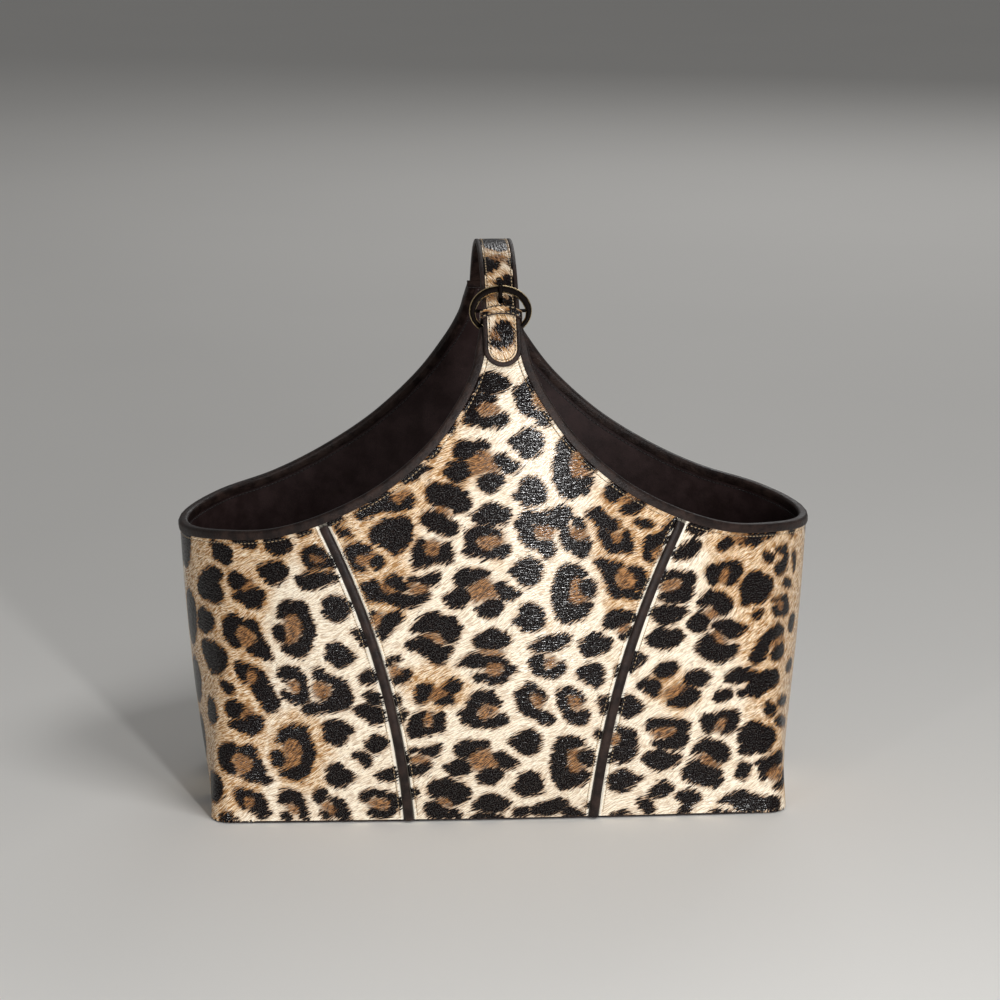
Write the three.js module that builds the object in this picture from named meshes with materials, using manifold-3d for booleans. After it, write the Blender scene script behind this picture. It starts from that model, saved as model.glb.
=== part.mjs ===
// Magazine basket: a stiff leather-covered basket whose front and back sweep up into two necks,
// joined over the middle by a strap handle with a round buckle. Millimetres, +Z up, front towards -Y,
// origin on the floor under the middle of the base.

import * as THREE from 'three';
import { mergeVertices } from 'three/addons/utils/BufferGeometryUtils.js';
import Module from 'manifold-3d';

const wasm = await Module();
wasm.setup();

// Body
const rimLength = 427;
const rimDepth = 242;
const rimEndHeight = 189;
const baseLength = 387;
const baseDepth = 168;
const baseCornerRadius = 14;
const baseBow = 3;
const shoulderHeight = 240;
const flareFullness = 0.8;
const archRise = 132.5;
const neckRise = 94;
const neckWidth = 26;

// Rim line from the neck top to the middle of the end, as shares across and up
const rimShares = [
  [0, 1], [0.012, 0.93], [0.03, 0.835], [0.08, 0.702], [0.18, 0.516],
  [0.333, 0.326], [0.51, 0.181], [0.687, 0.085], [0.864, 0.04], [1, 0],
];

// Seams between the middle and end panels, as shares of the way round a quarter of the wall
const seamFootShare = 0.229;
const seamHeadShare = 0.454;
const seamLeanShare = 0.35;
const seamCurvePower = 2.4;

// Wall layers
const clearance = 0.3;
const panelThickness = 1;
const boardThickness = 2;
const liningThickness = 0.8;
const buttGap = 0.3;

// Base
const baseCoverThickness = 1.2;
const baseCoverInset = 0.4;
const baseBoardThickness = 4;

// Piping and rim binding
const pipingWidth = 6.2;
const pipingHeight = 2.1;
const seamEase = 0.5;
const bindingThickness = 0.8;
const bindingHeight = 5.2;

// Strap
const strapWidth = 24.2;
const strapEdgeWidth = 2.6;
const strapLiningThickness = 0.8;
const strapCoreThickness = 0.5;
const strapFaceThickness = 0.8;
const strapDip = 1.6;
const strapDipStart = 2;
const strapDipLength = 28;
const strapDipPower = 0.6;
const strapTipLap = 29;
const strapBackLap = 36;
const strapHoleDiameter = 3.2;
const strapHoleSpacing = 17.8;
const firstFreeHole = 23.6;
const prongSlotNear = 1.8;
const prongSlotFar = 9.8;

// Buckle
const barDistance = 14;
const barDiameter = 2.2;
const ringWidth = 40.6;
const ringHeight = 33;
const ringBand = 3.6;
const ringDepth = 2.6;
const ringTilt = 38;
const tabThickness = 0.8;
const tabWidth = 23.4;
const tabLap = 22;
const tabTuck = 16;
const prongWidth = 3;
const prongThickness = 1.8;
const prongKnee = 6.2;
const prongRise = 2;
const prongTipOverhang = 1;
const keeperLength = 7;
const keeperThickness = 1.2;
const keeperPlay = 0.35;
const keeperFromBar = 1.9;
const keeperCornerRadius = 2.15;

// Facets and cuts
const overrun = 2;
const middleColumns = 6;
const wallRows = 8;
const neckRows = 9;
const sideColumns = 5;
const cornerColumns = 3;
const endColumns = 3;
const strapSteps = 48;
const tipSteps = 5;
const smallSides = 8;
const ringSteps = 28;
const baseLineSteps = 24;
const rimLineSteps = 120;
const rimCurveSteps = 240;
const archSteps = 360;
const searchSteps = 40;
const normalSteps = 500;
const tabSteps = 6;

const neckTopHeight = shoulderHeight + neckRise;

const leopard = { color: 0xd8b584, roughness: 0.42, metalness: 0 };
const brownLeather = { color: 0x2b2120, roughness: 0.5, metalness: 0 };
const brownLining = { color: 0x352a29, roughness: 0.85, metalness: 0 };
const greyBoard = { color: 0x8d8577, roughness: 0.95, metalness: 0 };
const agedBrass = { color: 0x6f5a34, roughness: 0.28, metalness: 1 };

const basket = new THREE.Group();

function addPiece(parent, name, geometry, finish) {
  const mesh = new THREE.Mesh(geometry, new THREE.MeshStandardMaterial(finish));
  mesh.name = name;
  parent.add(mesh);
  return mesh;
}

// Closed meshes

function signedVolume(geometry) {
  const p = geometry.attributes.position;
  const index = geometry.index.array;
  const a = new THREE.Vector3();
  const b = new THREE.Vector3();
  const c = new THREE.Vector3();
  let sum = 0;
  for (let i = 0; i < index.length; i += 3) {
    a.fromBufferAttribute(p, index[i]);
    b.fromBufferAttribute(p, index[i + 1]);
    c.fromBufferAttribute(p, index[i + 2]);
    sum += a.dot(b.cross(c));
  }
  return sum;
}

function closedGeometry(points, triangles) {
  const geometry = new THREE.BufferGeometry();
  const numbers = points.flatMap((p) => [p.x, p.y, p.z]);
  geometry.setAttribute('position', new THREE.Float32BufferAttribute(numbers, 3));
  geometry.setIndex(triangles.flat());
  if (signedVolume(geometry) < 0) {
    geometry.setIndex(triangles.flatMap(([a, b, c]) => [a, c, b]));
  }
  return geometry;
}

// A sheet between two grids of points, with its four edges closed
function sheet(outer, inner) {
  const rows = outer.length;
  const columns = outer[0].length;
  const points = [...outer.flat(), ...inner.flat()];
  const far = rows * columns;
  const triangles = [];
  const quad = (a, b, c, d, turned) => {
    if (turned) triangles.push([a, b, d], [b, c, d]);
    else triangles.push([a, b, c], [a, c, d]);
  };
  for (let j = 0; j < rows - 1; j += 1) {
    for (let i = 0; i < columns - 1; i += 1) {
      const a = j * columns + i;
      const turned = 2 * i < columns - 1;
      quad(a, a + 1, a + columns + 1, a + columns, turned);
      quad(far + a, far + a + columns, far + a + columns + 1, far + a + 1, turned);
    }
  }
  for (let i = 0; i < columns - 1; i += 1) {
    const top = (rows - 1) * columns + i;
    quad(i + 1, i, far + i, far + i + 1);
    quad(top, top + 1, far + top + 1, far + top);
  }
  for (let j = 0; j < rows - 1; j += 1) {
    const left = j * columns;
    const right = left + columns - 1;
    quad(left, left + columns, far + left + columns, far + left);
    quad(right + columns, right, far + right, far + right + columns);
  }
  return closedGeometry(points, triangles);
}

// A section carried along a row of frames; the frames close on themselves or end in flat caps
function sweep(section, frames, closed) {
  const sides = section.length;
  const points = frames.flatMap((frame) => section.map(([u, v]) => frame.at(u, v)));
  const triangles = [];
  const spans = closed ? frames.length : frames.length - 1;
  for (let j = 0; j < spans; j += 1) {
    const next = ((j + 1) % frames.length) * sides;
    for (let i = 0; i < sides; i += 1) {
      const k = (i + 1) % sides;
      triangles.push([j * sides + i, j * sides + k, next + k], [j * sides + i, next + k, next + i]);
    }
  }
  if (!closed) {
    const last = (frames.length - 1) * sides;
    const outline = section.map(([u, v]) => new THREE.Vector2(u, v));
    const turn = THREE.ShapeUtils.isClockWise(outline) ? -1 : 1;
    for (const [a, b, c] of THREE.ShapeUtils.triangulateShape(outline, [])) {
      triangles.push(turn > 0 ? [a, c, b] : [a, b, c]);
      triangles.push(turn > 0 ? [last + a, last + b, last + c] : [last + a, last + c, last + b]);
    }
  }
  return closedGeometry(points, triangles);
}

function merged(geometry) {
  const bare = geometry.clone();
  bare.deleteAttribute('normal');
  bare.deleteAttribute('uv');
  return mergeVertices(bare);
}

function toSolid(geometry) {
  const bare = merged(geometry);
  return new wasm.Manifold(new wasm.Mesh({
    numProp: 3,
    vertProperties: new Float32Array(bare.attributes.position.array),
    triVerts: new Uint32Array(bare.index.array),
  }));
}

function toGeometry(solid) {
  const mesh = solid.getMesh();
  const geometry = new THREE.BufferGeometry();
  geometry.setAttribute('position', new THREE.BufferAttribute(new Float32Array(mesh.vertProperties), 3));
  geometry.setIndex(new THREE.BufferAttribute(new Uint32Array(mesh.triVerts), 1));
  return geometry;
}

function cutAway(geometry, tools) {
  return toGeometry(tools.reduce((solid, tool) => solid.subtract(toSolid(tool)), toSolid(geometry)));
}

// A flat profile given in the Y-Z plane and carried across X, its middle on X = 0
function acrossX(shape, width) {
  const geometry = new THREE.ExtrudeGeometry(shape, {
    depth: width, bevelEnabled: false, curveSegments: smallSides,
  });
  geometry.translate(0, 0, -width / 2);
  geometry.applyMatrix4(new THREE.Matrix4().makeBasis(
    new THREE.Vector3(0, 1, 0),
    new THREE.Vector3(0, 0, 1),
    new THREE.Vector3(1, 0, 0),
  ));
  return merged(geometry);
}

// Lines measured by length

function measured(points) {
  const lengths = [0];
  for (let i = 1; i < points.length; i += 1) {
    lengths.push(lengths[i - 1] + points[i].distanceTo(points[i - 1]));
  }
  const total = lengths[lengths.length - 1];
  const at = (length) => {
    const wanted = Math.min(Math.max(length, 0), total);
    let i = 1;
    while (i < points.length - 1 && lengths[i] < wanted) i += 1;
    const step = (wanted - lengths[i - 1]) / (lengths[i] - lengths[i - 1]);
    return points[i - 1].clone().lerp(points[i], step);
  };
  return { points, lengths, total, at };
}

function lookUp(points, from, to, value) {
  let i = 1;
  const rising = points[points.length - 1][from] > points[0][from];
  while (i < points.length - 1 && (rising ? points[i][from] < value : points[i][from] > value)) i += 1;
  const a = points[i - 1];
  const b = points[i];
  return a[to] + (b[to] - a[to]) * (value - a[from]) / (b[from] - a[from]);
}

// The wall surface, drawn for the front right quarter and mirrored to the others.
// A share runs from 0 at the middle of the long side to 1 at the middle of the end.

function quarterBase() {
  const straight = baseLength / 2 - baseCornerRadius;
  const steps = baseLineSteps;
  const points = [];
  for (let i = 0; i <= steps; i += 1) {
    const share = i / steps;
    points.push(new THREE.Vector2(straight * share, baseBow * share * share - baseDepth / 2));
  }
  const centre = new THREE.Vector2(straight, baseBow + baseCornerRadius - baseDepth / 2);
  for (let i = 1; i <= steps; i += 1) {
    const turn = (i / steps - 1) * Math.PI / 2;
    const ray = new THREE.Vector2(Math.cos(turn), Math.sin(turn));
    points.push(ray.multiplyScalar(baseCornerRadius).add(centre));
  }
  points.push(new THREE.Vector2(baseLength / 2, 0));
  return { line: measured(points), cornerStart: steps, cornerEnd: 2 * steps };
}

function quarterRim() {
  const steps = rimLineSteps;
  const points = [];
  for (let i = 0; i <= steps; i += 1) {
    const turn = (i / steps) * Math.PI / 2;
    points.push(new THREE.Vector2(Math.sin(turn) * rimLength / 2, -Math.cos(turn) * rimDepth / 2));
  }
  return measured(points);
}

const base = quarterBase();
const rim = quarterRim();
const cornerStartShare = base.line.lengths[base.cornerStart] / base.line.total;
const cornerEndShare = base.line.lengths[base.cornerEnd] / base.line.total;

// Share of the way from the base outline to the rim outline, fuller just above the base
function rise(height) {
  const climb = Math.min(height / shoulderHeight, 1);
  return Math.sin(Math.PI / 2 * climb) + flareFullness * climb * (1 - climb) ** 3;
}

function archShrink(height) {
  const climb = Math.max(height - shoulderHeight, 0) / archRise;
  return Math.sqrt(1 - climb * climb);
}

function quarterPoint(share, height) {
  const foot = base.line.at(share * base.line.total);
  const head = rim.at(share * rim.total);
  const flat = foot.lerp(head, rise(height));
  return new THREE.Vector3(flat.x, flat.y * archShrink(height), height);
}

function quarterNormal(share, height) {
  const step = 1 / normalSteps;
  const before = quarterPoint(Math.max(share - step, 0), height);
  const along = quarterPoint(Math.min(share + step, 1), height).sub(before);
  const lift = step * shoulderHeight;
  const up = quarterPoint(share, height + lift).sub(quarterPoint(share, Math.max(height - lift, 0)));
  const normal = along.cross(up);
  if (share <= 0) normal.x = 0;
  if (share >= 1) normal.y = 0;
  return normal.normalize();
}

// Hand is 1 for the right half and -1 for the left; side is 1 for the front and -1 for the back
function placed(vector, hand, side) {
  return new THREE.Vector3(vector.x * hand, vector.y * side, vector.z);
}

// Layers keep their level on the leaning wall and stand square to it above the shoulder
function quarterInward(share, height) {
  const normal = quarterNormal(share, height);
  if (height >= shoulderHeight) return normal.negate();
  return normal.setZ(0).divideScalar(-normal.lengthSq());
}

function wallPoint(share, height, depth, hand, side) {
  const point = quarterPoint(share, height).addScaledVector(quarterInward(share, height), depth);
  return placed(point, hand, side);
}

function quarterLength(height) {
  return base.line.total + (rim.total - base.line.total) * rise(height);
}

function shareAcross(x, height) {
  let low = 0;
  let high = 1;
  for (let i = 0; i < searchSteps; i += 1) {
    const middle = (low + high) / 2;
    if (quarterPoint(middle, height).x < x) low = middle;
    else high = middle;
  }
  return (low + high) / 2;
}

// Rim line and seam line

const rimLine = measured(new THREE.SplineCurve(rimShares.map(([across, up]) => new THREE.Vector2(
  neckWidth / 2 + (rimLength / 2 - neckWidth / 2) * across,
  rimEndHeight + (neckTopHeight - rimEndHeight) * up,
))).getPoints(rimCurveSteps));

function rimHeightAt(share) {
  let height = rimEndHeight;
  for (let i = 0; i < searchSteps; i += 1) {
    height = lookUp(rimLine.points, 'x', 'y', quarterPoint(share, height).x);
  }
  return height;
}

const seamHeadHeight = rimHeightAt(seamHeadShare);

function seamShare(climb) {
  const bend = seamLeanShare * climb + (1 - seamLeanShare) * climb ** seamCurvePower;
  return seamFootShare + (seamHeadShare - seamFootShare) * bend;
}

// Rows of the middle panels: even up to the seam head, then even along the rim line to the neck top
function neckStations() {
  const rows = rimLine.points.map((p, i) => ({ height: p.y, length: rimLine.lengths[i] }));
  const seamHead = lookUp(rows, 'height', 'length', seamHeadHeight);
  const stations = [];
  for (let i = 1; i <= neckRows; i += 1) {
    const point = rimLine.at(seamHead * (1 - i / neckRows));
    stations.push({ height: point.y, share: shareAcross(point.x, point.y) });
  }
  return stations;
}

const neck = neckStations();

// Columns of the end panels, as shares of the way from the seam to the middle of the end
const spread = (from, to, count) => Array.from(
  { length: count }, (_, i) => from + (to - from) * (i + 1) / count,
);
const endShares = [
  0,
  ...[
    ...spread(seamFootShare, cornerStartShare, sideColumns),
    ...spread(cornerStartShare, cornerEndShare, cornerColumns),
    ...spread(cornerEndShare, 1, endColumns),
  ].map((share) => (share - seamFootShare) / (1 - seamFootShare)),
];

function endShareAt(climb, across) {
  return seamShare(climb) + (1 - seamShare(climb)) * across;
}

// Wall layers

const layers = {
  panel: { near: 0, far: panelThickness },
  board: { near: panelThickness + clearance, far: panelThickness + clearance + boardThickness },
  lining: {
    near: panelThickness + boardThickness + 2 * clearance,
    far: panelThickness + boardThickness + liningThickness + 2 * clearance,
  },
};
const wallThickness = layers.lining.far;
const baseCoverTop = baseCoverThickness + clearance;
const baseBoardTop = baseCoverTop + baseBoardThickness;
const panelSeamGap = pipingWidth / 2 + seamEase;
const liningFoot = baseBoardTop + clearance;

// Rows of the wall as shares of the way up; one lies at the lining's foot, so that the layers meet there
const rowClimbs = [0, liningFoot / seamHeadHeight];
for (let i = 1; i <= wallRows; i += 1) rowClimbs.push(i / wallRows);

function climbsFrom(foot) {
  return rowClimbs.filter((_, i) => !(rowClimbs[i + 1] * seamHeadHeight - foot < clearance));
}

// Middle panel: columns from the left edge to the right, rows from the foot to the neck top
function middleSheet(side, layer, foot, seamGap, openRows) {
  const rowList = climbsFrom(foot).map((climb) => {
    const height = Math.max(climb * seamHeadHeight, foot);
    return { height, share: seamShare(climb), gap: seamGap / quarterLength(height) };
  });
  for (const station of neck) rowList.push({ ...station, gap: 0 });
  const rows = rowList.slice(0, rowList.length - openRows);
  const grid = (depth) => rows.map((row) => {
    const line = [];
    for (let i = -middleColumns; i <= middleColumns; i += 1) {
      const edge = Math.abs(i) === middleColumns ? row.gap : 0;
      const share = row.share * Math.abs(i) / middleColumns - edge;
      line.push(wallPoint(share, row.height, depth, Math.sign(i) || 1, side));
    }
    return line;
  });
  return sheet(grid(layer.near), grid(layer.far));
}

// End panel: columns from the front seam round the end to the back seam
function endSheet(hand, layer, foot, seamGap) {
  const columns = [
    ...endShares.map((across) => ({ across, side: 1 })),
    ...endShares.slice(0, -1).reverse().map((across) => ({ across, side: -1 })),
  ];
  const grid = (depth) => climbsFrom(foot).map((climb) => columns.map(({ across, side }) => {
    const edge = across === 0 ? seamGap : 0;
    const top = rimHeightAt(endShareAt(1, across) + edge / quarterLength(seamHeadHeight));
    const height = Math.max(climb * top, foot);
    return wallPoint(endShareAt(climb, across) + edge / quarterLength(height), height, depth, hand, side);
  }));
  return sheet(grid(layer.near), grid(layer.far));
}

function addWalls() {
  const sides = [['front', 1], ['back', -1]];
  const hands = [['left', -1], ['right', 1]];
  for (const [name, side] of sides) {
    const panel = middleSheet(side, layers.panel, baseCoverTop, panelSeamGap, 0);
    addPiece(basket, `${name}_panel`, panel, leopard);
    const openRows = side > 0 ? 1 : 0;
    const board = middleSheet(side, layers.board, baseCoverTop, buttGap, openRows);
    addPiece(basket, `${name}_board`, board, greyBoard);
    const lining = middleSheet(side, layers.lining, liningFoot, buttGap, 0);
    addPiece(basket, `${name}_lining`, lining, brownLining);
  }
  for (const [name, hand] of hands) {
    addPiece(basket, `${name}_end_panel`, endSheet(hand, layers.panel, baseCoverTop, panelSeamGap), leopard);
    addPiece(basket, `${name}_end_board`, endSheet(hand, layers.board, baseCoverTop, buttGap), greyBoard);
    const lining = endSheet(hand, layers.lining, liningFoot, buttGap);
    addPiece(basket, `${name}_end_lining`, lining, brownLining);
  }
}

// Base plates follow the foot of the wall, set in by the layers outside them

const footShares = [
  ...Array.from({ length: middleColumns }, (_, i) => seamFootShare * i / middleColumns),
  ...endShares.map((across) => endShareAt(0, across)),
];

function footOutline(height, inset) {
  const quarter = footShares.map((share) => {
    const point = quarterPoint(share, height);
    return point.addScaledVector(quarterInward(share, height), inset);
  });
  return [
    ...quarter,
    ...quarter.slice(0, -1).reverse().map((p) => placed(p, 1, -1)),
    ...quarter.slice(1).map((p) => placed(p, -1, -1)),
    ...quarter.slice(1, -1).reverse().map((p) => placed(p, -1, 1)),
  ];
}

function basePlate(height, inset, thickness) {
  const low = footOutline(height, inset);
  const high = footOutline(height + thickness, inset);
  const count = low.length;
  const shape = low.map((p) => new THREE.Vector2(p.x, p.y));
  const triangles = [];
  for (const [a, b, c] of THREE.ShapeUtils.triangulateShape(shape, [])) {
    triangles.push([a, c, b], [count + a, count + b, count + c]);
  }
  for (let i = 0; i < count; i += 1) {
    const k = (i + 1) % count;
    triangles.push([i, k, count + k], [i, count + k, count + i]);
  }
  return closedGeometry([...low, ...high], triangles);
}

function addBase() {
  const boardInset = layers.board.far + 2 * clearance;
  const liningInset = layers.lining.far + 2 * clearance;
  addPiece(basket, 'base_cover', basePlate(0, baseCoverInset, baseCoverThickness), brownLeather);
  addPiece(basket, 'base_board', basePlate(baseCoverTop, boardInset, baseBoardThickness), greyBoard);
  addPiece(basket, 'base_lining', basePlate(liningFoot, liningInset, liningThickness), brownLining);
}

// A frame on the wall: across lies along the surface, square to the line that is followed,
// and out is off the surface
function wallSpots(stations) {
  return stations.map(({ share, height, hand, side }) => ({
    point: wallPoint(share, height, 0, hand, side),
    normal: placed(quarterNormal(share, height), hand, side),
  }));
}

function wallFrames(spots) {
  return spots.map(({ point, normal }, i) => {
    const before = spots[Math.max(i - 1, 0)].point;
    const after = spots[Math.min(i + 1, spots.length - 1)].point;
    const along = after.clone().sub(before).normalize();
    const across = along.clone().cross(normal).normalize();
    const out = across.clone().cross(along).normalize();
    return { at: (u, v) => point.clone().addScaledVector(across, u).addScaledVector(out, v) };
  });
}

function pipingSection() {
  const half = pipingWidth / 2;
  const foot = clearance - layers.board.near;
  const crown = pipingHeight;
  const points = [[half, foot]];
  for (let i = 0; i <= smallSides; i += 1) {
    const turn = Math.PI * i / smallSides;
    points.push([half * Math.cos(turn), crown * Math.sin(turn)]);
  }
  points.push([-half, foot]);
  return points;
}

function piping(hand, side) {
  const spots = wallSpots(rowClimbs.map((climb) => ({
    share: seamShare(climb),
    height: Math.max(climb * seamHeadHeight, baseCoverTop),
    hand,
    side,
  })));
  const last = spots.pop();
  const below = spots[spots.length - 1];
  const stop = 1 - (bindingHeight + clearance) * wallRows / seamHeadHeight;
  spots.push({ point: below.point.clone().lerp(last.point, stop), normal: last.normal });
  return sweep(pipingSection(), wallFrames(spots), false);
}

function addPiping() {
  for (const [sideName, side] of [['front', 1], ['back', -1]]) {
    for (const [handName, hand] of [['left', -1], ['right', 1]]) {
      addPiece(basket, `${sideName}_${handName}_piping`, piping(hand, side), brownLeather);
    }
  }
}

// Binding folded over the rim, from one neck top round the end to the other
function bindingSection(up) {
  const outside = clearance + bindingThickness;
  const inside = -wallThickness - clearance - bindingThickness;
  const top = clearance + bindingThickness;
  const foot = clearance - bindingHeight;
  return [
    [up * foot, clearance],
    [up * foot, outside],
    [up * top, outside],
    [up * top, inside],
    [up * foot, inside],
    [up * foot, -wallThickness - clearance],
    [up * clearance, -wallThickness - clearance],
    [up * clearance, clearance],
  ];
}

function binding(hand) {
  const rimEnd = endShares.map((across) => endShareAt(1, across));
  const quarter = [
    ...neck.slice().reverse(),
    ...rimEnd.map((share) => ({ share, height: rimHeightAt(share) })),
  ];
  const stations = [
    ...quarter.map((station) => ({ ...station, hand, side: 1 })),
    ...quarter.slice(0, -1).reverse().map((station) => ({ ...station, hand, side: -1 })),
  ];
  return sweep(bindingSection(-hand), wallFrames(wallSpots(stations)), false);
}

function addBindings() {
  addPiece(basket, 'left_rim_binding', binding(-1), brownLeather);
  addPiece(basket, 'right_rim_binding', binding(1), brownLeather);
}

// Handle arch: the middle line of the necks and the strap, in the Y-Z plane.
// A distance is measured along it from the front neck top towards the back.

const archLine = measured(Array.from({ length: archSteps + 1 }, (_, i) => {
  const turn = Math.PI * i / archSteps;
  return new THREE.Vector3(0, -Math.cos(turn) * rimDepth / 2, shoulderHeight + Math.sin(turn) * archRise);
}));
const frontNeck = lookUp(
  archLine.points.slice(0, archSteps / 2).map((p, i) => ({ height: p.z, length: archLine.lengths[i] })),
  'height', 'length', neckTopHeight,
);
const archSpan = archLine.total - 2 * frontNeck;

function archFrame(distance) {
  const point = archLine.at(frontNeck + distance);
  const along = new THREE.Vector3(
    0,
    (point.z - shoulderHeight) * (rimDepth / 2) / archRise,
    -point.y * archRise / (rimDepth / 2),
  ).normalize();
  const out = new THREE.Vector3(1, 0, 0).cross(along);
  return {
    point,
    along,
    out,
    at: (x, lift) => point.clone().setX(x).addScaledVector(out, lift),
  };
}

// Strap: a dark lining with turned-up edges and round ends, a stiffener and a printed face let into it

const strapSeatFront = clearance + tabThickness + clearance;
const strapSeatBack = 2 * clearance + bindingThickness;
const strapStart = -strapTipLap;
const strapEnd = archSpan + strapBackLap;
const strapTop = strapLiningThickness + strapCoreThickness + strapFaceThickness + 2 * clearance;

// The strap lies over the tab and the binding, and dips under the far side of the frame
function strapSeat(distance) {
  const over = Math.min(Math.max(distance / archSpan, 0), 1);
  const past = Math.min(Math.max((distance - barDistance - strapDipStart) / strapDipLength, 0), 1);
  const dip = strapDip * Math.sin(Math.PI * past ** strapDipPower) ** 2;
  return strapSeatFront + (strapSeatBack - strapSeatFront) * over - dip;
}

// Stations along the strap with their half widths; inset draws the outline in on every side
function strapOutline(inset) {
  const half = strapWidth / 2 - inset;
  const round = Array.from({ length: tipSteps }, (_, i) => Math.PI / 2 * (i + 0.5) / tipSteps);
  const start = strapStart + inset;
  const end = strapEnd - inset;
  const reach = (turn) => half * (1 - Math.cos(turn));
  const tip = round.map((turn) => ({ distance: start + reach(turn), half: half * Math.sin(turn) }));
  const tail = round.map((turn) => ({ distance: end - reach(turn), half: half * Math.sin(turn) }));
  const from = strapStart + strapWidth / 2;
  const to = strapEnd - strapWidth / 2;
  const run = Array.from({ length: strapSteps + 1 }, (_, i) => ({
    distance: from + (to - from) * i / strapSteps,
    half,
  }));
  return [...tip, ...run, ...tail.reverse()];
}

function strapSheet(inset, low, high) {
  const stations = strapOutline(inset);
  const grid = (lift) => stations.map(({ distance, half }) => {
    const frame = archFrame(distance);
    const seat = strapSeat(distance) + lift;
    return [frame.at(-half, seat), frame.at(half, seat)];
  });
  return sheet(grid(high), grid(low));
}

function strapCutter(distance, length, width) {
  const shape = new THREE.Shape();
  const flat = Math.max(length - width, 0) / 2;
  shape.absarc(0, flat, width / 2, 0, Math.PI);
  shape.absarc(0, -flat, width / 2, Math.PI, 2 * Math.PI);
  const height = strapTop + 2 * overrun;
  const geometry = new THREE.ExtrudeGeometry(shape, {
    depth: height, bevelEnabled: false, curveSegments: smallSides / 2,
  });
  const frame = archFrame(distance);
  const seat = frame.at(0, strapSeat(distance) - overrun);
  const placing = new THREE.Matrix4().makeBasis(new THREE.Vector3(1, 0, 0), frame.along, frame.out);
  return geometry.applyMatrix4(placing.setPosition(seat));
}

function strapHoles() {
  const slotMiddle = barDistance + (prongSlotNear + prongSlotFar) / 2;
  const slot = strapCutter(slotMiddle, prongSlotFar - prongSlotNear, prongWidth + 2 * clearance);
  const holes = [0, 1].map((i) => {
    const distance = barDistance + firstFreeHole + strapHoleSpacing * i;
    return strapCutter(distance, strapHoleDiameter, strapHoleDiameter);
  });
  return [slot, ...holes];
}

function addStrap() {
  const holes = strapHoles();
  const pocketFloor = strapLiningThickness;
  const coreLow = pocketFloor + clearance;
  const faceLow = coreLow + strapCoreThickness + clearance;
  const pocket = strapSheet(strapEdgeWidth, pocketFloor, strapTop + overrun);
  const letIn = strapEdgeWidth + clearance;
  const lining = cutAway(strapSheet(0, 0, strapTop), [pocket, ...holes]);
  const core = cutAway(strapSheet(letIn, coreLow, coreLow + strapCoreThickness), holes);
  const face = cutAway(strapSheet(letIn, faceLow, strapTop), holes);
  addPiece(basket, 'strap_lining', lining, brownLeather);
  addPiece(basket, 'strap_core', core, greyBoard);
  addPiece(basket, 'strap_face', face, leopard);
}

// Buckle, drawn about its bar: Y runs up the arch and Z off it

const barLift = -barDiameter / 2;
const tabInside = barDiameter / 2 + clearance;
const tabOutside = tabInside + tabThickness;
const barFrame = archFrame(barDistance);

function onBar(turn) {
  const group = new THREE.Group();
  const placing = new THREE.Matrix4().makeBasis(new THREE.Vector3(1, 0, 0), barFrame.along, barFrame.out);
  group.position.copy(barFrame.at(0, barLift));
  group.quaternion.setFromRotationMatrix(placing);
  const tilted = new THREE.Group();
  tilted.rotation.x = turn;
  group.add(tilted);
  basket.add(group);
  return tilted;
}

// The leather tab goes up the front of the neck, round the bar and down inside the neck
function tabShape() {
  const outer = [];
  const inner = [];
  const step = (lap, lift, list) => {
    const frame = archFrame(lap);
    const point = frame.at(0, lift);
    list.push(new THREE.Vector2(point.y, point.z));
  };
  for (let i = 0; i < tabSteps; i += 1) {
    const distance = -tabLap + (barDistance + tabLap) * i / tabSteps;
    step(distance, barLift + tabOutside, outer);
    step(distance, barLift + tabInside, inner);
  }
  const centre = barFrame.at(0, barLift);
  for (let i = 0; i <= smallSides; i += 1) {
    const turn = Math.PI / 2 - Math.PI * i / smallSides;
    const ray = barFrame.along.clone().multiplyScalar(Math.cos(turn));
    ray.addScaledVector(barFrame.out, Math.sin(turn));
    const far = centre.clone().addScaledVector(ray, tabOutside);
    const near = centre.clone().addScaledVector(ray, tabInside);
    outer.push(new THREE.Vector2(far.y, far.z));
    inner.push(new THREE.Vector2(near.y, near.z));
  }
  for (let i = tabSteps - 1; i >= 0; i -= 1) {
    const distance = -tabTuck + (barDistance + tabTuck) * i / tabSteps;
    step(distance, barLift - tabOutside, outer);
    step(distance, barLift - tabInside, inner);
  }
  return new THREE.Shape([...outer, ...inner.reverse()]);
}

function boxAt(frame, lift, size) {
  const geometry = new THREE.BoxGeometry(size.x, size.y, size.z);
  const placing = new THREE.Matrix4().makeBasis(new THREE.Vector3(1, 0, 0), frame.along, frame.out);
  return geometry.applyMatrix4(placing.setPosition(frame.at(0, lift)));
}

function buckleTab() {
  const cuts = [];
  const lapWidth = neckWidth + 2 * (clearance - bindingHeight);
  const strip = (tabWidth - lapWidth) / 2 + clearance;
  const lapLength = tabLap + overrun;
  const slotLength = 4 * tabOutside;
  const tall = 4 * tabOutside;
  for (const hand of [-1, 1]) {
    const frame = archFrame(clearance - lapLength / 2);
    const side = boxAt(frame, barLift, new THREE.Vector3(strip + overrun, lapLength, tall));
    cuts.push(side.translate(hand * ((lapWidth + strip + overrun) / 2 - clearance), 0, 0));
  }
  const slot = new THREE.Vector3(prongWidth + 2 * clearance, slotLength, tall);
  cuts.push(boxAt(barFrame, barLift, slot));
  return cutAway(acrossX(tabShape(), tabWidth), cuts);
}

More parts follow.
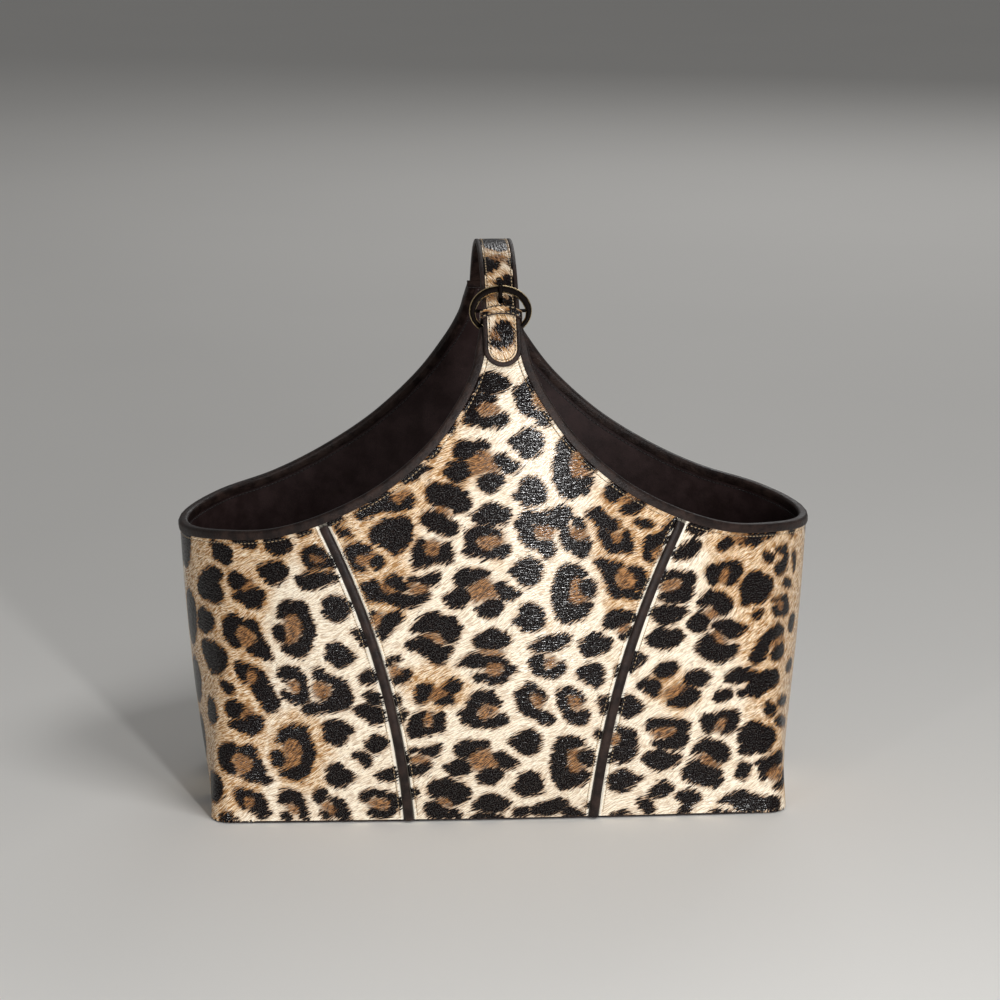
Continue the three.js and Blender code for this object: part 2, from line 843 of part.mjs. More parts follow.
// Oval frame with a bar across its middle
function buckleRing() {
  const across = (ringWidth - ringBand) / 2;
  const up = (ringHeight - ringBand) / 2;
  const frames = Array.from({ length: ringSteps }, (_, i) => {
    const turn = 2 * Math.PI * i / ringSteps;
    const point = new THREE.Vector3(across * Math.cos(turn), up * Math.sin(turn), 0);
    const away = new THREE.Vector3(up * Math.cos(turn), across * Math.sin(turn), 0).normalize();
    return { at: (u, v) => point.clone().addScaledVector(away, u).setZ(v) };
  });
  const section = Array.from({ length: smallSides }, (_, i) => {
    const turn = 2 * Math.PI * (i + 0.5) / smallSides;
    const fill = 1 / Math.cos(Math.PI / smallSides);
    return [ringBand / 2 * fill * Math.cos(turn), ringDepth / 2 * fill * Math.sin(turn)];
  });
  const hoop = sweep(section, frames, true);
  const bar = new THREE.CylinderGeometry(barDiameter / 2, barDiameter / 2, 2 * across, 2 * smallSides);
  bar.rotateZ(Math.PI / 2);
  return toGeometry(toSolid(hoop).add(toSolid(bar)));
}

// Prong: rolled round the bar, cranked up through the strap and laid on the far side of the frame
function buckleProng() {
  const half = prongThickness / 2;
  const tilt = THREE.MathUtils.degToRad(ringTilt);
  const lie = ringDepth / 2 + clearance + half;
  const overRing = (reach) => new THREE.Vector2(
    reach * Math.cos(tilt) - lie * Math.sin(tilt),
    reach * Math.sin(tilt) + lie * Math.cos(tilt),
  );
  const strapUnder = strapSeatFront - barLift - clearance - half;
  const knee = new THREE.Vector2(prongKnee - prongRise / 4, strapUnder - prongRise / 2);
  const crest = overRing(prongKnee + prongRise);
  const tip = overRing(ringHeight / 2 + prongTipOverhang);
  const root = new THREE.Vector2(tabInside, 0);
  const line = [root, knee, crest, tip];
  const edge = (side) => line.map((point, i) => {
    const before = line[Math.max(i - 1, 0)];
    const after = line[Math.min(i + 1, line.length - 1)];
    const into = point.clone().sub(before).normalize();
    const away = after.clone().sub(point).normalize();
    const along = into.add(away).normalize();
    const turn = i === 0 || i === line.length - 1 ? 0 : away.angleTo(after.clone().sub(before)) / 2;
    return new THREE.Vector2(-along.y, along.x).multiplyScalar(side * half / Math.cos(turn)).add(point);
  });
  const shaft = acrossX(new THREE.Shape([...edge(1), ...edge(-1).reverse()]), prongWidth);
  const roll = new THREE.Shape();
  roll.absarc(0, 0, tabOutside, 0, 2 * Math.PI);
  const bore = new THREE.Path();
  bore.absarc(0, 0, tabInside, 0, 2 * Math.PI);
  roll.holes.push(bore);
  const boreTool = new THREE.Shape();
  boreTool.absarc(0, 0, tabInside, 0, 2 * Math.PI);
  const joined = toSolid(acrossX(roll, prongWidth)).add(toSolid(shaft));
  return toGeometry(joined.subtract(toSolid(acrossX(boreTool, prongWidth + 2 * overrun))));
}

function addBuckle() {
  addPiece(basket, 'buckle_tab', buckleTab(), brownLeather);
  addPiece(onBar(THREE.MathUtils.degToRad(ringTilt)), 'buckle_ring', buckleRing(), agedBrass);
  addPiece(onBar(0), 'buckle_prong', buckleProng(), agedBrass);
}

// Keeper: a flat loop round the strap and the tab, just below the bar
function roundedBox(halfWidth, low, high, radius) {
  const path = new THREE.Path();
  path.absarc(halfWidth - radius, high - radius, radius, 0, Math.PI / 2);
  path.absarc(radius - halfWidth, high - radius, radius, Math.PI / 2, Math.PI);
  path.absarc(radius - halfWidth, low + radius, radius, Math.PI, 3 * Math.PI / 2);
  path.absarc(halfWidth - radius, low + radius, radius, 3 * Math.PI / 2, 2 * Math.PI);
  return path;
}

function addKeeper() {
  const halfWidth = strapWidth / 2 + clearance;
  const low = barLift - tabOutside - keeperPlay;
  const high = strapSeatFront + strapTop + keeperPlay;
  const outline = roundedBox(
    halfWidth + keeperThickness, low - keeperThickness, high + keeperThickness, keeperCornerRadius,
  );
  const shape = new THREE.Shape(outline.getPoints(smallSides / 2));
  shape.holes.push(roundedBox(halfWidth, low, high, keeperCornerRadius - keeperThickness));
  const geometry = new THREE.ExtrudeGeometry(shape, {
    depth: keeperLength, bevelEnabled: false, curveSegments: smallSides / 4,
  });
  const frame = archFrame(barDistance - keeperFromBar - keeperLength / 2);
  const holder = new THREE.Group();
  holder.position.copy(frame.at(0, 0));
  holder.quaternion.setFromRotationMatrix(new THREE.Matrix4().makeBasis(
    new THREE.Vector3(1, 0, 0),
    frame.out,
    frame.along.clone().negate(),
  ));
  basket.add(holder);
  addPiece(holder, 'keeper_loop', merged(geometry.translate(0, 0, -keeperLength / 2)), leopard);
}

addWalls();
addBase();
addPiping();
addBindings();
addStrap();
addBuckle();
addKeeper();

export default basket;
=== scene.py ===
import math

import bpy
import numpy as np
from mathutils import Matrix, Vector


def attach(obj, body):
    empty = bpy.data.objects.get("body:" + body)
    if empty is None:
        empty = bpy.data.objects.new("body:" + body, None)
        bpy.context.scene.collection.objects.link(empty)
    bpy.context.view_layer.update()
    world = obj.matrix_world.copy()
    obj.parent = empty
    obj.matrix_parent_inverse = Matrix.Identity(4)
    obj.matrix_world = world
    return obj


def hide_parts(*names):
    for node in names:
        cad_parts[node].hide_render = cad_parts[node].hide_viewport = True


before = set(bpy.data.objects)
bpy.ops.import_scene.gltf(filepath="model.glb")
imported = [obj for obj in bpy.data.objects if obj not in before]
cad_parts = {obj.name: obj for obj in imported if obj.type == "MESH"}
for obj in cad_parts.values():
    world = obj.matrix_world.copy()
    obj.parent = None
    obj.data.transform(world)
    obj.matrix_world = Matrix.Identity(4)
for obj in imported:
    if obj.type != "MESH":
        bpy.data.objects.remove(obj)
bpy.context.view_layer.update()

bl_info = {
    "name": "Leopard Print Magazine Basket",
    "version": (1, 0, 0),
    "blender": (4, 5, 0),
    "location": "3D View > Sidebar > Basket",
    "description": "Dresses the leather magazine basket: printed panels, piping, binding, strap and buckle",
    "category": "Object",
}

MM = 0.001

# Body, in metres: the same surface as the solid model
RIM_LENGTH = 427 * MM
RIM_DEPTH = 242 * MM
RIM_END_HEIGHT = 189 * MM
BASE_LENGTH = 387 * MM
BASE_DEPTH = 168 * MM
BASE_CORNER = 14 * MM
BASE_BOW = 3 * MM
SHOULDER = 240 * MM
FLARE_FULLNESS = 0.8
ARCH_RISE = 132.5 * MM
NECK_TOP = SHOULDER + 94 * MM
NECK_WIDTH = 26 * MM
RIM_SHARES = (
    (0, 1), (0.012, 0.93), (0.03, 0.835), (0.08, 0.702), (0.18, 0.516),
    (0.333, 0.326), (0.51, 0.181), (0.687, 0.085), (0.864, 0.04), (1, 0),
)
SEAM_FOOT = 0.229
SEAM_HEAD = 0.454
SEAM_LEAN = 0.35
SEAM_POWER = 2.4

# Wall layers, measured in from the outer face
GAP = 0.3 * MM
PANEL = 1 * MM
LINING_NEAR = 3.6 * MM
LINING = 0.8 * MM
WALL = LINING_NEAR + LINING
FLOOR_LINING_LEVEL = 5.8 * MM
BASE_COVER = 1.2 * MM
BASE_COVER_INSET = 0.4 * MM
FLOOR_LINING_INSET = WALL + 2 * GAP
PANEL_FOOT = BASE_COVER + GAP
LINING_FOOT = FLOOR_LINING_LEVEL

# Trim
PIPING_WIDTH = 6.2 * MM
PIPING_HEIGHT = 2.1 * MM
SEAM_EASE = 0.5 * MM
BINDING = 0.8 * MM
BINDING_HEIGHT = 5.2 * MM

# Strap, tab and buckle
TAB = 0.8 * MM
STRAP_WIDTH = 24.2 * MM
STRAP_EDGE = 2.6 * MM
STRAP_LEVELS = {"floor": 0.8 * MM, "core": 1.1 * MM, "face": 1.9 * MM, "top": 2.7 * MM}
STRAP_TIP_LAP = 29 * MM
STRAP_BACK_LAP = 36 * MM
STRAP_DIP = 1.6 * MM
STRAP_DIP_START = 2 * MM
STRAP_DIP_LENGTH = 28 * MM
STRAP_DIP_POWER = 0.6
HOLE_DIAMETER = 3.2 * MM
HOLE_SPACING = 17.8 * MM
FIRST_FREE_HOLE = 23.6 * MM
PRONG_SLOT = (1.8 * MM, 9.8 * MM)
BAR_DISTANCE = 14 * MM
BAR_DIAMETER = 2.2 * MM
RING_WIDTH = 40.6 * MM
RING_HEIGHT = 33 * MM
RING_BAND = 3.6 * MM
RING_DEPTH = 2.6 * MM
RING_TILT = math.radians(38)
TAB_WIDTH = 23.4 * MM
TAB_LAP = 22 * MM
TAB_TUCK = 16 * MM
PRONG_WIDTH = 3 * MM
PRONG_THICKNESS = 1.8 * MM
PRONG_KNEE = 6.2 * MM
PRONG_RISE = 2 * MM
PRONG_OVERHANG = 1 * MM
KEEPER_LENGTH = 7 * MM
KEEPER = 1.2 * MM
KEEPER_PLAY = 0.35 * MM
KEEPER_FROM_BAR = 1.9 * MM
KEEPER_CORNER = 2.15 * MM

# Camera of the photograph
CAMERA_PLACE = (-0.1212, -2.1708, 0.726)
CAMERA_TURN = (math.radians(90 - 13.62), 0, math.radians(-3.30))
CAMERA_LENS = 118.8

# Leopard print: outlines on the unrolled wall as across, up, across, up and so on, in millimetres

# The band that comes back below and above itself on the middle panels
BAND_SPOTS = (
    (-95, 170, -90, 171, -85, 174, -81, 172, -79, 167, -74, 165, -70, 166, -64, 164, -58, 164, -53, 166,
     -47, 166, -49, 161, -55, 157, -62, 155, -69, 156, -76, 159, -84, 159, -91, 160, -90, 165),
    (-79, 172, -76, 176, -71, 178, -66, 176, -64, 172, -60, 170, -62, 166, -70, 167, -75, 169),
    (-65, 174, -60, 177, -54, 176, -48, 179, -43, 180, -41, 177, -44, 171, -50, 170, -56, 173),
    (-33, 175, -31, 180, -26, 183, -20, 182, -12, 182, -9, 179, -12, 176, -18, 174, -22, 170, -31, 169),
    (-40, 163, -35, 166, -29, 170, -25, 169, -21, 163, -22, 159, -27, 156, -32, 155, -37, 158),
    (-8, 170, -5, 173, 0, 174, 3, 170, 9, 167, 11, 165, 6, 161, 1, 160, -4, 164, -6, 167),
    (-18, 153, -17, 157, -12, 161, -6, 162, -1, 160, 0, 156, -3, 153, -6, 149, -11, 148, -15, 150),
    (2, 181, 7, 185, 12, 189, 18, 190, 22, 187, 25, 183, 24, 177, 21, 172, 16, 170, 11, 172, 6, 177),
    (4, 146, 10, 150, 10, 155, 14, 158, 20, 158, 24, 155, 26, 150, 27, 145, 24, 141, 18, 139, 12,
     139, 10, 143),
    (36, 183, 42, 184, 48, 183, 52, 180, 54, 177, 50, 175, 44, 173, 42, 166, 44, 159, 48, 157, 52, 158,
     58, 157, 57, 152, 53, 147, 47, 145, 40, 143, 36, 146, 33, 152, 31, 158, 31, 166, 33, 175),
    (47, 172, 52, 173, 58, 173, 60, 168, 60, 162, 54, 161, 48, 164),
    (15, 128, 20, 131, 26, 134, 33, 136, 40, 137, 44, 134, 43, 130, 38, 126, 32, 124, 20, 124),
)
LONE_SPOT = (
    (-21, 133, -17, 137, -13, 140, -7, 142, -2, 139, 3, 137, 5, 133, 2, 129, -3, 127, -16, 127, -20, 130),
)
BAND_HEARTS = (
    (-80, 171, -74, 170, -72, 166, -79, 166),
    (-62, 171, -50, 171, -50, 166, -60, 165),
    (-23, 170, -12, 177, -8, 170, -3, 163, -12, 162, -19, 160, -22, 164),
    (44, 174, 50, 174, 48, 165, 55, 160, 47, 156, 43, 158, 43, 166),
)

# The rest of the middle panels
MIDDLE_SPOTS = (
    (-59, 184, -60, 195, -57, 200, -52, 202, -50, 198, -50, 193, -45, 191, -43, 196, -38, 201, -34, 198,
     -33, 190, -35, 186, -43, 186, -50, 184, -54, 183),
    (-105, 191, -101, 197, -95, 199, -88, 197, -85, 194, -87, 190, -94, 190, -97, 187, -96, 184, -91, 183,
     -90, 179, -95, 179, -100, 181, -101, 186),
    (-89, 186, -84, 191, -79, 189, -77, 185, -80, 181, -86, 182),
    (-111, 206, -106, 208, -101, 206, -98, 203, -101, 201, -107, 202),
    (-88, 203, -85, 209, -79, 213, -72, 216, -63, 218, -60, 213, -59, 205, -61, 199, -67, 194, -71, 190,
     -76, 195, -81, 198, -86, 199),
    (-66, 151, -70, 153, -78, 150, -81, 146, -84, 139, -82, 134, -79, 132, -75, 137, -70, 142, -66, 147),
    (-88, 151, -84, 152, -84, 147, -87, 145),
    (-62, 140, -58, 145, -53, 150, -46, 153, -41, 151, -38, 149, -33, 150, -30, 146, -27, 142, -29, 136,
     -32, 131, -36, 131, -40, 134, -42, 139, -50, 138, -61, 138),
    (-65, 129, -60, 134, -54, 136, -48, 135, -44, 130, -34, 130, -33, 126, -36, 121, -41, 116, -45, 116,
     -49, 120, -55, 124, -62, 127),
    (-26, 206, -22, 210, -15, 212, -8, 211, -2, 208, 0, 205, -4, 203, -10, 205, -17, 203, -18, 199,
     -14, 196, -10, 195, -5, 198, 0, 199, 4, 198, 3, 192, -2, 189, -15, 190, -28, 192, -25, 196),
    (-26, 292, -23, 297, -15, 299, -8, 297, -3, 294, -7, 291, -13, 292, -18, 288, -16, 283, -10, 282,
     -4, 284, 2, 285, 3, 279, -3, 275, -13, 276, -27, 278, -25, 284),
    (6, 213, 9, 217, 13, 221, 19, 220, 24, 219, 30, 222, 41, 224, 43, 219, 41, 213, 36, 209, 30,
     212, 24, 210,
     19, 212, 18, 208, 20, 203, 26, 201, 32, 198, 33, 192, 29, 188, 24, 191, 20, 195, 14, 198, 10,
     202, 9, 208),
    (36, 214, 35, 208, 37, 200, 39, 195, 44, 191, 50, 188, 55, 190, 56, 197, 54, 201, 48, 200, 44, 203,
     42, 208, 41, 214),
    (43, 216, 48, 215, 53, 210, 52, 206, 48, 206, 44, 210),
    (58, 185, 63, 187, 70, 185, 76, 183, 79, 181, 74, 178, 72, 173, 74, 168, 80, 165, 86, 166, 87, 162,
     92, 160, 90, 157, 84, 158, 78, 160, 72, 159, 69, 163, 67, 170, 64, 177, 61, 182),
    (80, 178, 84, 181, 91, 178, 95, 173, 94, 168, 93, 163, 88, 162, 86, 167, 87, 171, 85, 174),
    (60, 208, 62, 200, 65, 195, 71, 190, 78, 190, 85, 189, 84, 195, 83, 202, 80, 206, 76, 203, 77, 199,
     75, 196, 71, 198, 70, 203, 66, 207),
    (51, 219, 57, 221, 62, 221, 66, 216, 70, 213, 77, 211, 75, 207, 69, 205, 62, 207, 59, 211, 54, 216),
    (92, 195, 94, 200, 100, 202, 107, 202, 110, 198, 107, 193, 102, 191, 97, 190, 97, 186, 101, 183,
     95, 182, 92, 187),
    (66, 143, 67, 148, 71, 151, 78, 151, 85, 149, 89, 146, 86, 142, 80, 141, 75, 138, 69, 138, 65, 140),
    (76, 132, 80, 136, 86, 139, 88, 136, 83, 131, 79, 130),
    (49, 129, 54, 134, 61, 136, 66, 133, 72, 130, 71, 125, 65, 122, 58, 119, 53, 121, 50, 125),
    (16, 117, 19, 122, 25, 123, 27, 118, 26, 113, 30, 111, 33, 113, 37, 117, 40, 115, 41, 110, 36, 106,
     30, 105, 24, 107, 19, 110),
    (47, 108, 52, 113, 59, 115, 64, 112, 67, 109, 66, 103, 64, 98, 60, 97, 55, 101, 51, 104),
    (-58, 97, -55, 101, -50, 103, -45, 101, -46, 97, -49, 93, -50, 89, -55, 87, -58, 89, -57, 93),
    (-40, 100, -37, 104, -33, 106, -29, 104, -27, 101, -31, 97, -35, 96, -39, 98),
    (-46, 90, -42, 92, -38, 95, -33, 94, -31, 90, -35, 88, -41, 87),
    (-75, 104, -70, 108, -65, 112, -61, 113, -60, 109, -61, 106, -67, 102, -73, 102),
    (-78, 119, -73, 120, -68, 122, -67, 120, -73, 116, -77, 114),
    (-73, 94, -68, 94, -67, 89, -69, 86, -72, 84),
    (-69, 82, -62, 83, -64, 77, -67, 72, -69, 75),
    (-32, 114, -28, 119, -24, 123, -17, 125, -11, 122, -5, 123, 0, 121, 5, 115, 10, 112, 5, 109, 1, 104,
     -4, 101, -9, 103, -14, 104, -20, 105, -21, 108, -18, 110, -12, 110, -6, 107, -2, 109, 0, 113,
     -2, 116, -8, 117, -13, 113, -20, 114, -26, 115),
    (-30, 81, -24, 85, -23, 90, -21, 95, -15, 98, -8, 97, -4, 92, -1, 88, -4, 85, -8, 87, -12, 88,
     -15, 85, -18, 82, -17, 79, -12, 76, -6, 79, 0, 81, 4, 77, 2, 73, -5, 70, -12, 71, -20, 72,
     -28, 74, -27, 78),
    (7, 94, 9, 98, 13, 99, 15, 103, 19, 102, 24, 98, 28, 94, 29, 91, 25, 88, 22, 89, 21, 94, 17, 96,
     18, 90, 20, 85, 26, 82, 32, 80, 34, 75, 31, 71, 26, 72, 21, 76, 14, 79, 10, 84, 9, 89),
    (34, 96, 36, 88, 38, 82, 40, 77, 44, 73, 50, 70, 55, 71, 57, 77, 56, 81, 52, 82, 49, 80, 45, 83,
     43, 88, 42, 94, 46, 92, 49, 88, 53, 87, 53, 90, 49, 95, 44, 99, 38, 98),
    (73, 112, 77, 113, 77, 106, 74, 104),
    (63, 90, 66, 91, 70, 90, 71, 85, 70, 78, 66, 78, 63, 83),
    (60, 66, 66, 67, 68, 60, 63, 59),
    (54, 11, 60, 13, 66, 14, 65, 8, 57, 8),
    (8, 9, 13, 10, 19, 9, 21, 4, 14, 1, 8, 3),
    (40, 12, 48, 8, 54, 5, 57, 1, 40, 1),
    (-64, 70, -61, 78, -57, 82, -51, 83, -50, 80, -53, 76, -51, 70, -47, 72, -47, 78, -43, 81, -40, 82,
     -38, 79, -39, 73, -38, 68, -46, 66, -54, 64, -61, 63),
    (-50, 22, -49, 28, -46, 33, -41, 32, -35, 34, -32, 31, -26, 29, -22, 26, -20, 21, -24, 15, -29, 12,
     -34, 14, -38, 18, -45, 18),
    (-52, 10, -49, 14, -44, 16, -40, 13, -38, 10, -34, 8, -28, 8, -27, 4, -29, 1, -48, 1, -50, 5),
    (-61, 25, -57, 26, -56, 20, -58, 16, -61, 18),
    (-20, 4, -12, 6, -5, 4, 2, 2, 2, 0, -20, 0),
    (-98, 217, -95, 221, -88, 224, -80, 229, -78, 234, -73, 234, -73, 229, -68, 226, -64, 229, -60, 232,
     -58, 229, -59, 224, -65, 221, -73, 220, -82, 219, -88, 215, -94, 214),
    (-70, 241, -65, 244, -60, 249, -54, 251, -46, 250, -50, 246, -57, 242, -64, 239),
    (-53, 258, -48, 263, -43, 265, -41, 261, -44, 256, -49, 254),
    (-40, 273, -36, 278, -32, 281, -31, 276, -35, 271),
    (-51, 231, -50, 237, -46, 240, -40, 239, -35, 240, -30, 236, -25, 235, -22, 229, -21, 225, -26, 220,
     -31, 219, -36, 223, -42, 225, -48, 226),
    (-55, 216, -52, 220, -46, 222, -41, 220, -37, 217, -32, 214, -29, 212, -31, 206, -36, 203, -42, 206,
     -49, 209, -53, 212),
    (-119, 210, -113, 214, -107, 217, -104, 213, -108, 210, -115, 208),
    (5, 300, 12, 303, 14, 307, 20, 307, 20, 300, 18, 293, 20, 286, 27, 285, 31, 279, 28, 275, 23, 276,
     20, 281, 14, 283, 10, 285, 8, 292),
    (64, 228, 65, 234, 70, 238, 76, 236, 83, 231, 77, 228, 73, 225, 68, 224),
    (75, 219, 80, 224, 86, 226, 92, 225, 94, 223, 90, 218, 85, 215, 79, 216),
    (84, 211, 89, 212, 96, 210, 99, 207, 95, 205, 89, 207),
    (102, 203, 108, 207, 113, 211, 117, 209, 113, 203, 106, 200),
)
MIDDLE_HEARTS = (
    (-51, 192, -51, 200, -43, 201, -42, 194, -46, 190),
    (-98, 188, -90, 190, -84, 192, -86, 186, -92, 183, -97, 184),
    (-87, 149, -80, 151, -79, 146, -83, 140, -86, 144),
    (-54, 137, -43, 138, -38, 131, -45, 132),
    (-18, 203, -10, 205, -2, 203, -1, 200, -8, 197, -13, 195, -17, 199),
    (-17, 290, -8, 291, -3, 287, -8, 283, -15, 284),
    (20, 211, 30, 211, 32, 204, 24, 202, 20, 205),
    (42, 209, 50, 208, 54, 202, 47, 200, 43, 203),
    (74, 178, 80, 178, 86, 172, 86, 167, 80, 165, 75, 169),
    (70, 203, 76, 203, 77, 199, 72, 197),
    (98, 190, 104, 192, 106, 188, 100, 184),
    (75, 138, 84, 141, 83, 137, 78, 135),
    (26, 118, 32, 121, 34, 116, 30, 112),
    (-46, 98, -40, 98, -36, 95, -44, 91, -49, 92),
    (-73, 115, -66, 111, -72, 106, -74, 109),
    (-12, 116, -2, 118, 0, 112, -3, 108, -10, 109),
    (-16, 126, -4, 126, 0, 124, -6, 122, -14, 124),
    (-17, 82, -12, 87, -6, 86, -3, 83, -8, 78, -14, 77),
    (19, 94, 24, 94, 27, 88, 23, 84, 19, 88),
    (43, 92, 50, 92, 52, 86, 48, 82, 44, 85),
    (-52, 79, -48, 82, -46, 73, -51, 71),
    (-44, 17, -37, 18, -32, 12, -39, 12),
    (-74, 228, -66, 234, -61, 233, -68, 226),
    (-45, 223, -38, 224, -34, 219, -40, 220),
    (19, 297, 26, 295, 28, 287, 21, 287),
    (43, 258, 50, 258, 52, 249, 45, 247),
    (74, 224, 82, 229, 88, 227, 80, 223),
)

# The left end, whose band comes back above itself
LEFT_BAND_SPOTS = (
    (-153, 57, -150, 62, -149, 67, -143, 69, -135, 70, -131, 69, -128, 63, -127, 57, -124, 51, -126, 44,
     -127, 38, -131, 32, -136, 30, -143, 32, -149, 36, -144, 39, -138, 41, -134, 45, -134, 52, -136, 57,
     -140, 60, -146, 57),
    (-155, 50, -150, 52, -146, 50, -144, 44, -146, 40, -152, 40, -154, 44),
    (-190, 53, -185, 55, -180, 54, -178, 51, -174, 53, -169, 54, -165, 51, -164, 45, -160, 40, -157, 34,
     -153, 29, -157, 27, -163, 29, -170, 29, -175, 33, -169, 37, -166, 42, -168, 44, -174, 47, -179, 49,
     -183, 45, -181, 40, -178, 35, -180, 33, -185, 34, -191, 37, -194, 45, -194, 50),
    (-190, 80, -186, 83, -181, 84, -176, 81, -172, 80, -175, 76, -178, 72, -182, 71, -188, 73),
    (-187, 68, -180, 71, -175, 72, -171, 75, -166, 75, -160, 73, -161, 66, -165, 62, -170, 61,
     -177, 63, -184, 66),
    (-120, 70, -116, 74, -110, 75, -105, 74, -101, 70, -97, 68, -101, 65, -104, 60, -108, 56, -113, 58,
     -119, 61, -118, 65),
    (-101, 50, -95, 53, -89, 52, -86, 46, -88, 41, -92, 41, -96, 46),
    (-117, 40, -112, 43, -108, 43, -103, 39, -98, 35, -97, 32, -102, 29, -107, 25, -112, 27, -118,
     31, -116, 35),
)
LEFT_BAND_HEARTS = (
    (-146, 57, -139, 61, -134, 56, -134, 46, -140, 40, -145, 40, -144, 48),
    (-181, 47, -174, 47, -168, 43, -168, 37, -174, 34, -179, 37),
    (-179, 73, -173, 80, -168, 77, -172, 73),
)
LEFT_END_SPOTS = (
    (-264, 176, -260, 196, -246, 206, -233, 197, -232, 180, -238, 164, -252, 160),
    (-256, 122, -252, 142, -238, 148, -229, 138, -230, 120, -240, 108, -250, 110),
    (-256, 80, -250, 98, -236, 101, -227, 88, -231, 74, -242, 68, -252, 70),
    (-254, 38, -248, 58, -236, 61, -227, 48, -232, 34, -246, 29),
    (-250, 6, -244, 22, -233, 24, -225, 12, -230, 1, -244, 0),
    (-99, 83, -94, 87, -85, 87, -78, 83, -76, 77, -80, 73, -86, 72, -92, 77, -97, 80),
    (-92, 58, -88, 62, -83, 65, -77, 63, -75, 58, -79, 53, -84, 51, -89, 54),
    (-84, 36, -78, 39, -71, 42, -69, 36, -69, 31, -76, 31, -83, 32),
    (-96, 18, -92, 23, -86, 25, -78, 23, -70, 22, -66, 17, -66, 11, -70, 8, -75, 3, -86, 3, -90, 8, -84, 11,
     -77, 8, -74, 12, -76, 17, -82, 18, -86, 20, -90, 15),
    (-126, 20, -123, 24, -119, 25, -116, 22, -115, 18, -120, 14, -124, 16),
    (-116, 18, -110, 19, -105, 16, -102, 10, -100, 1, -108, 1, -113, 8, -112, 13),
    (-121, 7, -117, 9, -112, 5, -115, 2, -119, 3),
    (-127, 106, -124, 111, -120, 111, -117, 106, -109, 105, -103, 102, -100, 96, -99, 90, -101, 84,
     -108, 81,
     -118, 80, -127, 77, -134, 81, -131, 87, -124, 86, -118, 88, -114, 92, -112, 99, -117, 101, -123, 102),
    (-121, 92, -117, 94, -116, 90, -120, 89),
    (-151, 106, -148, 110, -142, 111, -136, 109, -131, 104, -130, 97, -128, 90, -132, 84, -140, 86,
     -147, 88,
     -149, 93, -144, 95, -139, 90, -136, 93, -135, 99, -138, 102, -145, 101, -150, 101),
    (-149, 19, -147, 23, -141, 24, -135, 22, -131, 17, -130, 11, -128, 3, -133, 2, -135, 8, -137, 13,
     -143, 14, -148, 14),
    (-147, 6, -143, 9, -139, 6, -140, 2, -146, 2),
    (-183, 108, -178, 111, -172, 109, -165, 107, -159, 103, -156, 97, -152, 90, -148, 84, -152, 78,
     -159, 78,
     -162, 84, -168, 90, -171, 95, -165, 99, -168, 104, -174, 105, -173, 100, -174, 95, -178, 98,
     -181, 103),
    (-180, 22, -176, 24, -170, 24, -165, 21, -158, 18, -156, 12, -154, 8, -157, 4, -163, 5, -168,
     9, -166, 13,
     -167, 17, -172, 18, -171, 12, -172, 10, -176, 13),
    (-197, 94, -190, 96, -184, 93, -181, 89, -187, 87, -192, 89),
    (-188, 5, -183, 7, -178, 5, -175, 1, -188, 1),
    (-215, 28, -200, 30, -192, 31, -188, 24, -187, 18, -192, 12, -200, 12, -215, 10),
    (-215, 80, -202, 79, -197, 70, -200, 64, -215, 62),
    (-221, 118, -205, 119, -195, 118, -189, 114, -189, 106, -193, 101, -200, 98, -210, 98, -215,
     103, -222, 110),
    (-225, 140, -210, 139, -204, 136, -202, 131, -207, 126, -216, 123, -228, 123),
    (-225, 152, -221, 161, -213, 167, -205, 171, -196, 169, -194, 165, -200, 160, -196, 158, -193, 152,
     -196, 148, -206, 146, -220, 147),
    (-208, 186, -204, 189, -192, 188, -187, 185, -186, 180, -188, 175, -192, 174, -198, 176, -205,
     177, -204, 183),
    (-189, 193, -185, 196, -179, 194, -172, 198, -168, 198, -166, 191, -168, 187, -175, 188, -183, 190),
    (-160, 197, -155, 200, -149, 201, -144, 197, -139, 192, -144, 188, -152, 185, -157, 187, -161, 191),
    (-143, 204, -137, 207, -130, 208, -126, 204, -129, 201, -136, 200),
    (-167, 175, -161, 178, -155, 181, -149, 182, -144, 178, -143, 172, -147, 168, -153, 165, -159,
     166, -162, 170),
    (-134, 190, -129, 194, -122, 194, -116, 191, -110, 184, -110, 180, -120, 180, -128, 178, -132, 182),
    (-139, 171, -132, 175, -124, 177, -114, 177, -108, 175, -110, 171, -118, 168, -128, 164, -134, 165),
    (-96, 105, -92, 110, -86, 112, -82, 108, -84, 102, -91, 100),
    (-92, 93, -88, 97, -82, 95, -78, 88, -84, 86, -90, 89),
)
LEFT_END_HEARTS = (
    (-90, 14, -84, 18, -76, 17, -74, 11, -82, 10),
    (-120, 14, -114, 15, -110, 9, -113, 5, -117, 9),
    (-127, 100, -118, 101, -113, 97, -117, 90, -124, 90),
    (-144, 100, -136, 100, -135, 93, -141, 93),
    (-144, 13, -137, 13, -135, 6, -141, 8),
    (-174, 105, -167, 105, -165, 100, -172, 96),
    (-172, 18, -166, 18, -165, 13, -171, 11),
    (-129, 188, -121, 188, -117, 184, -125, 182),
)

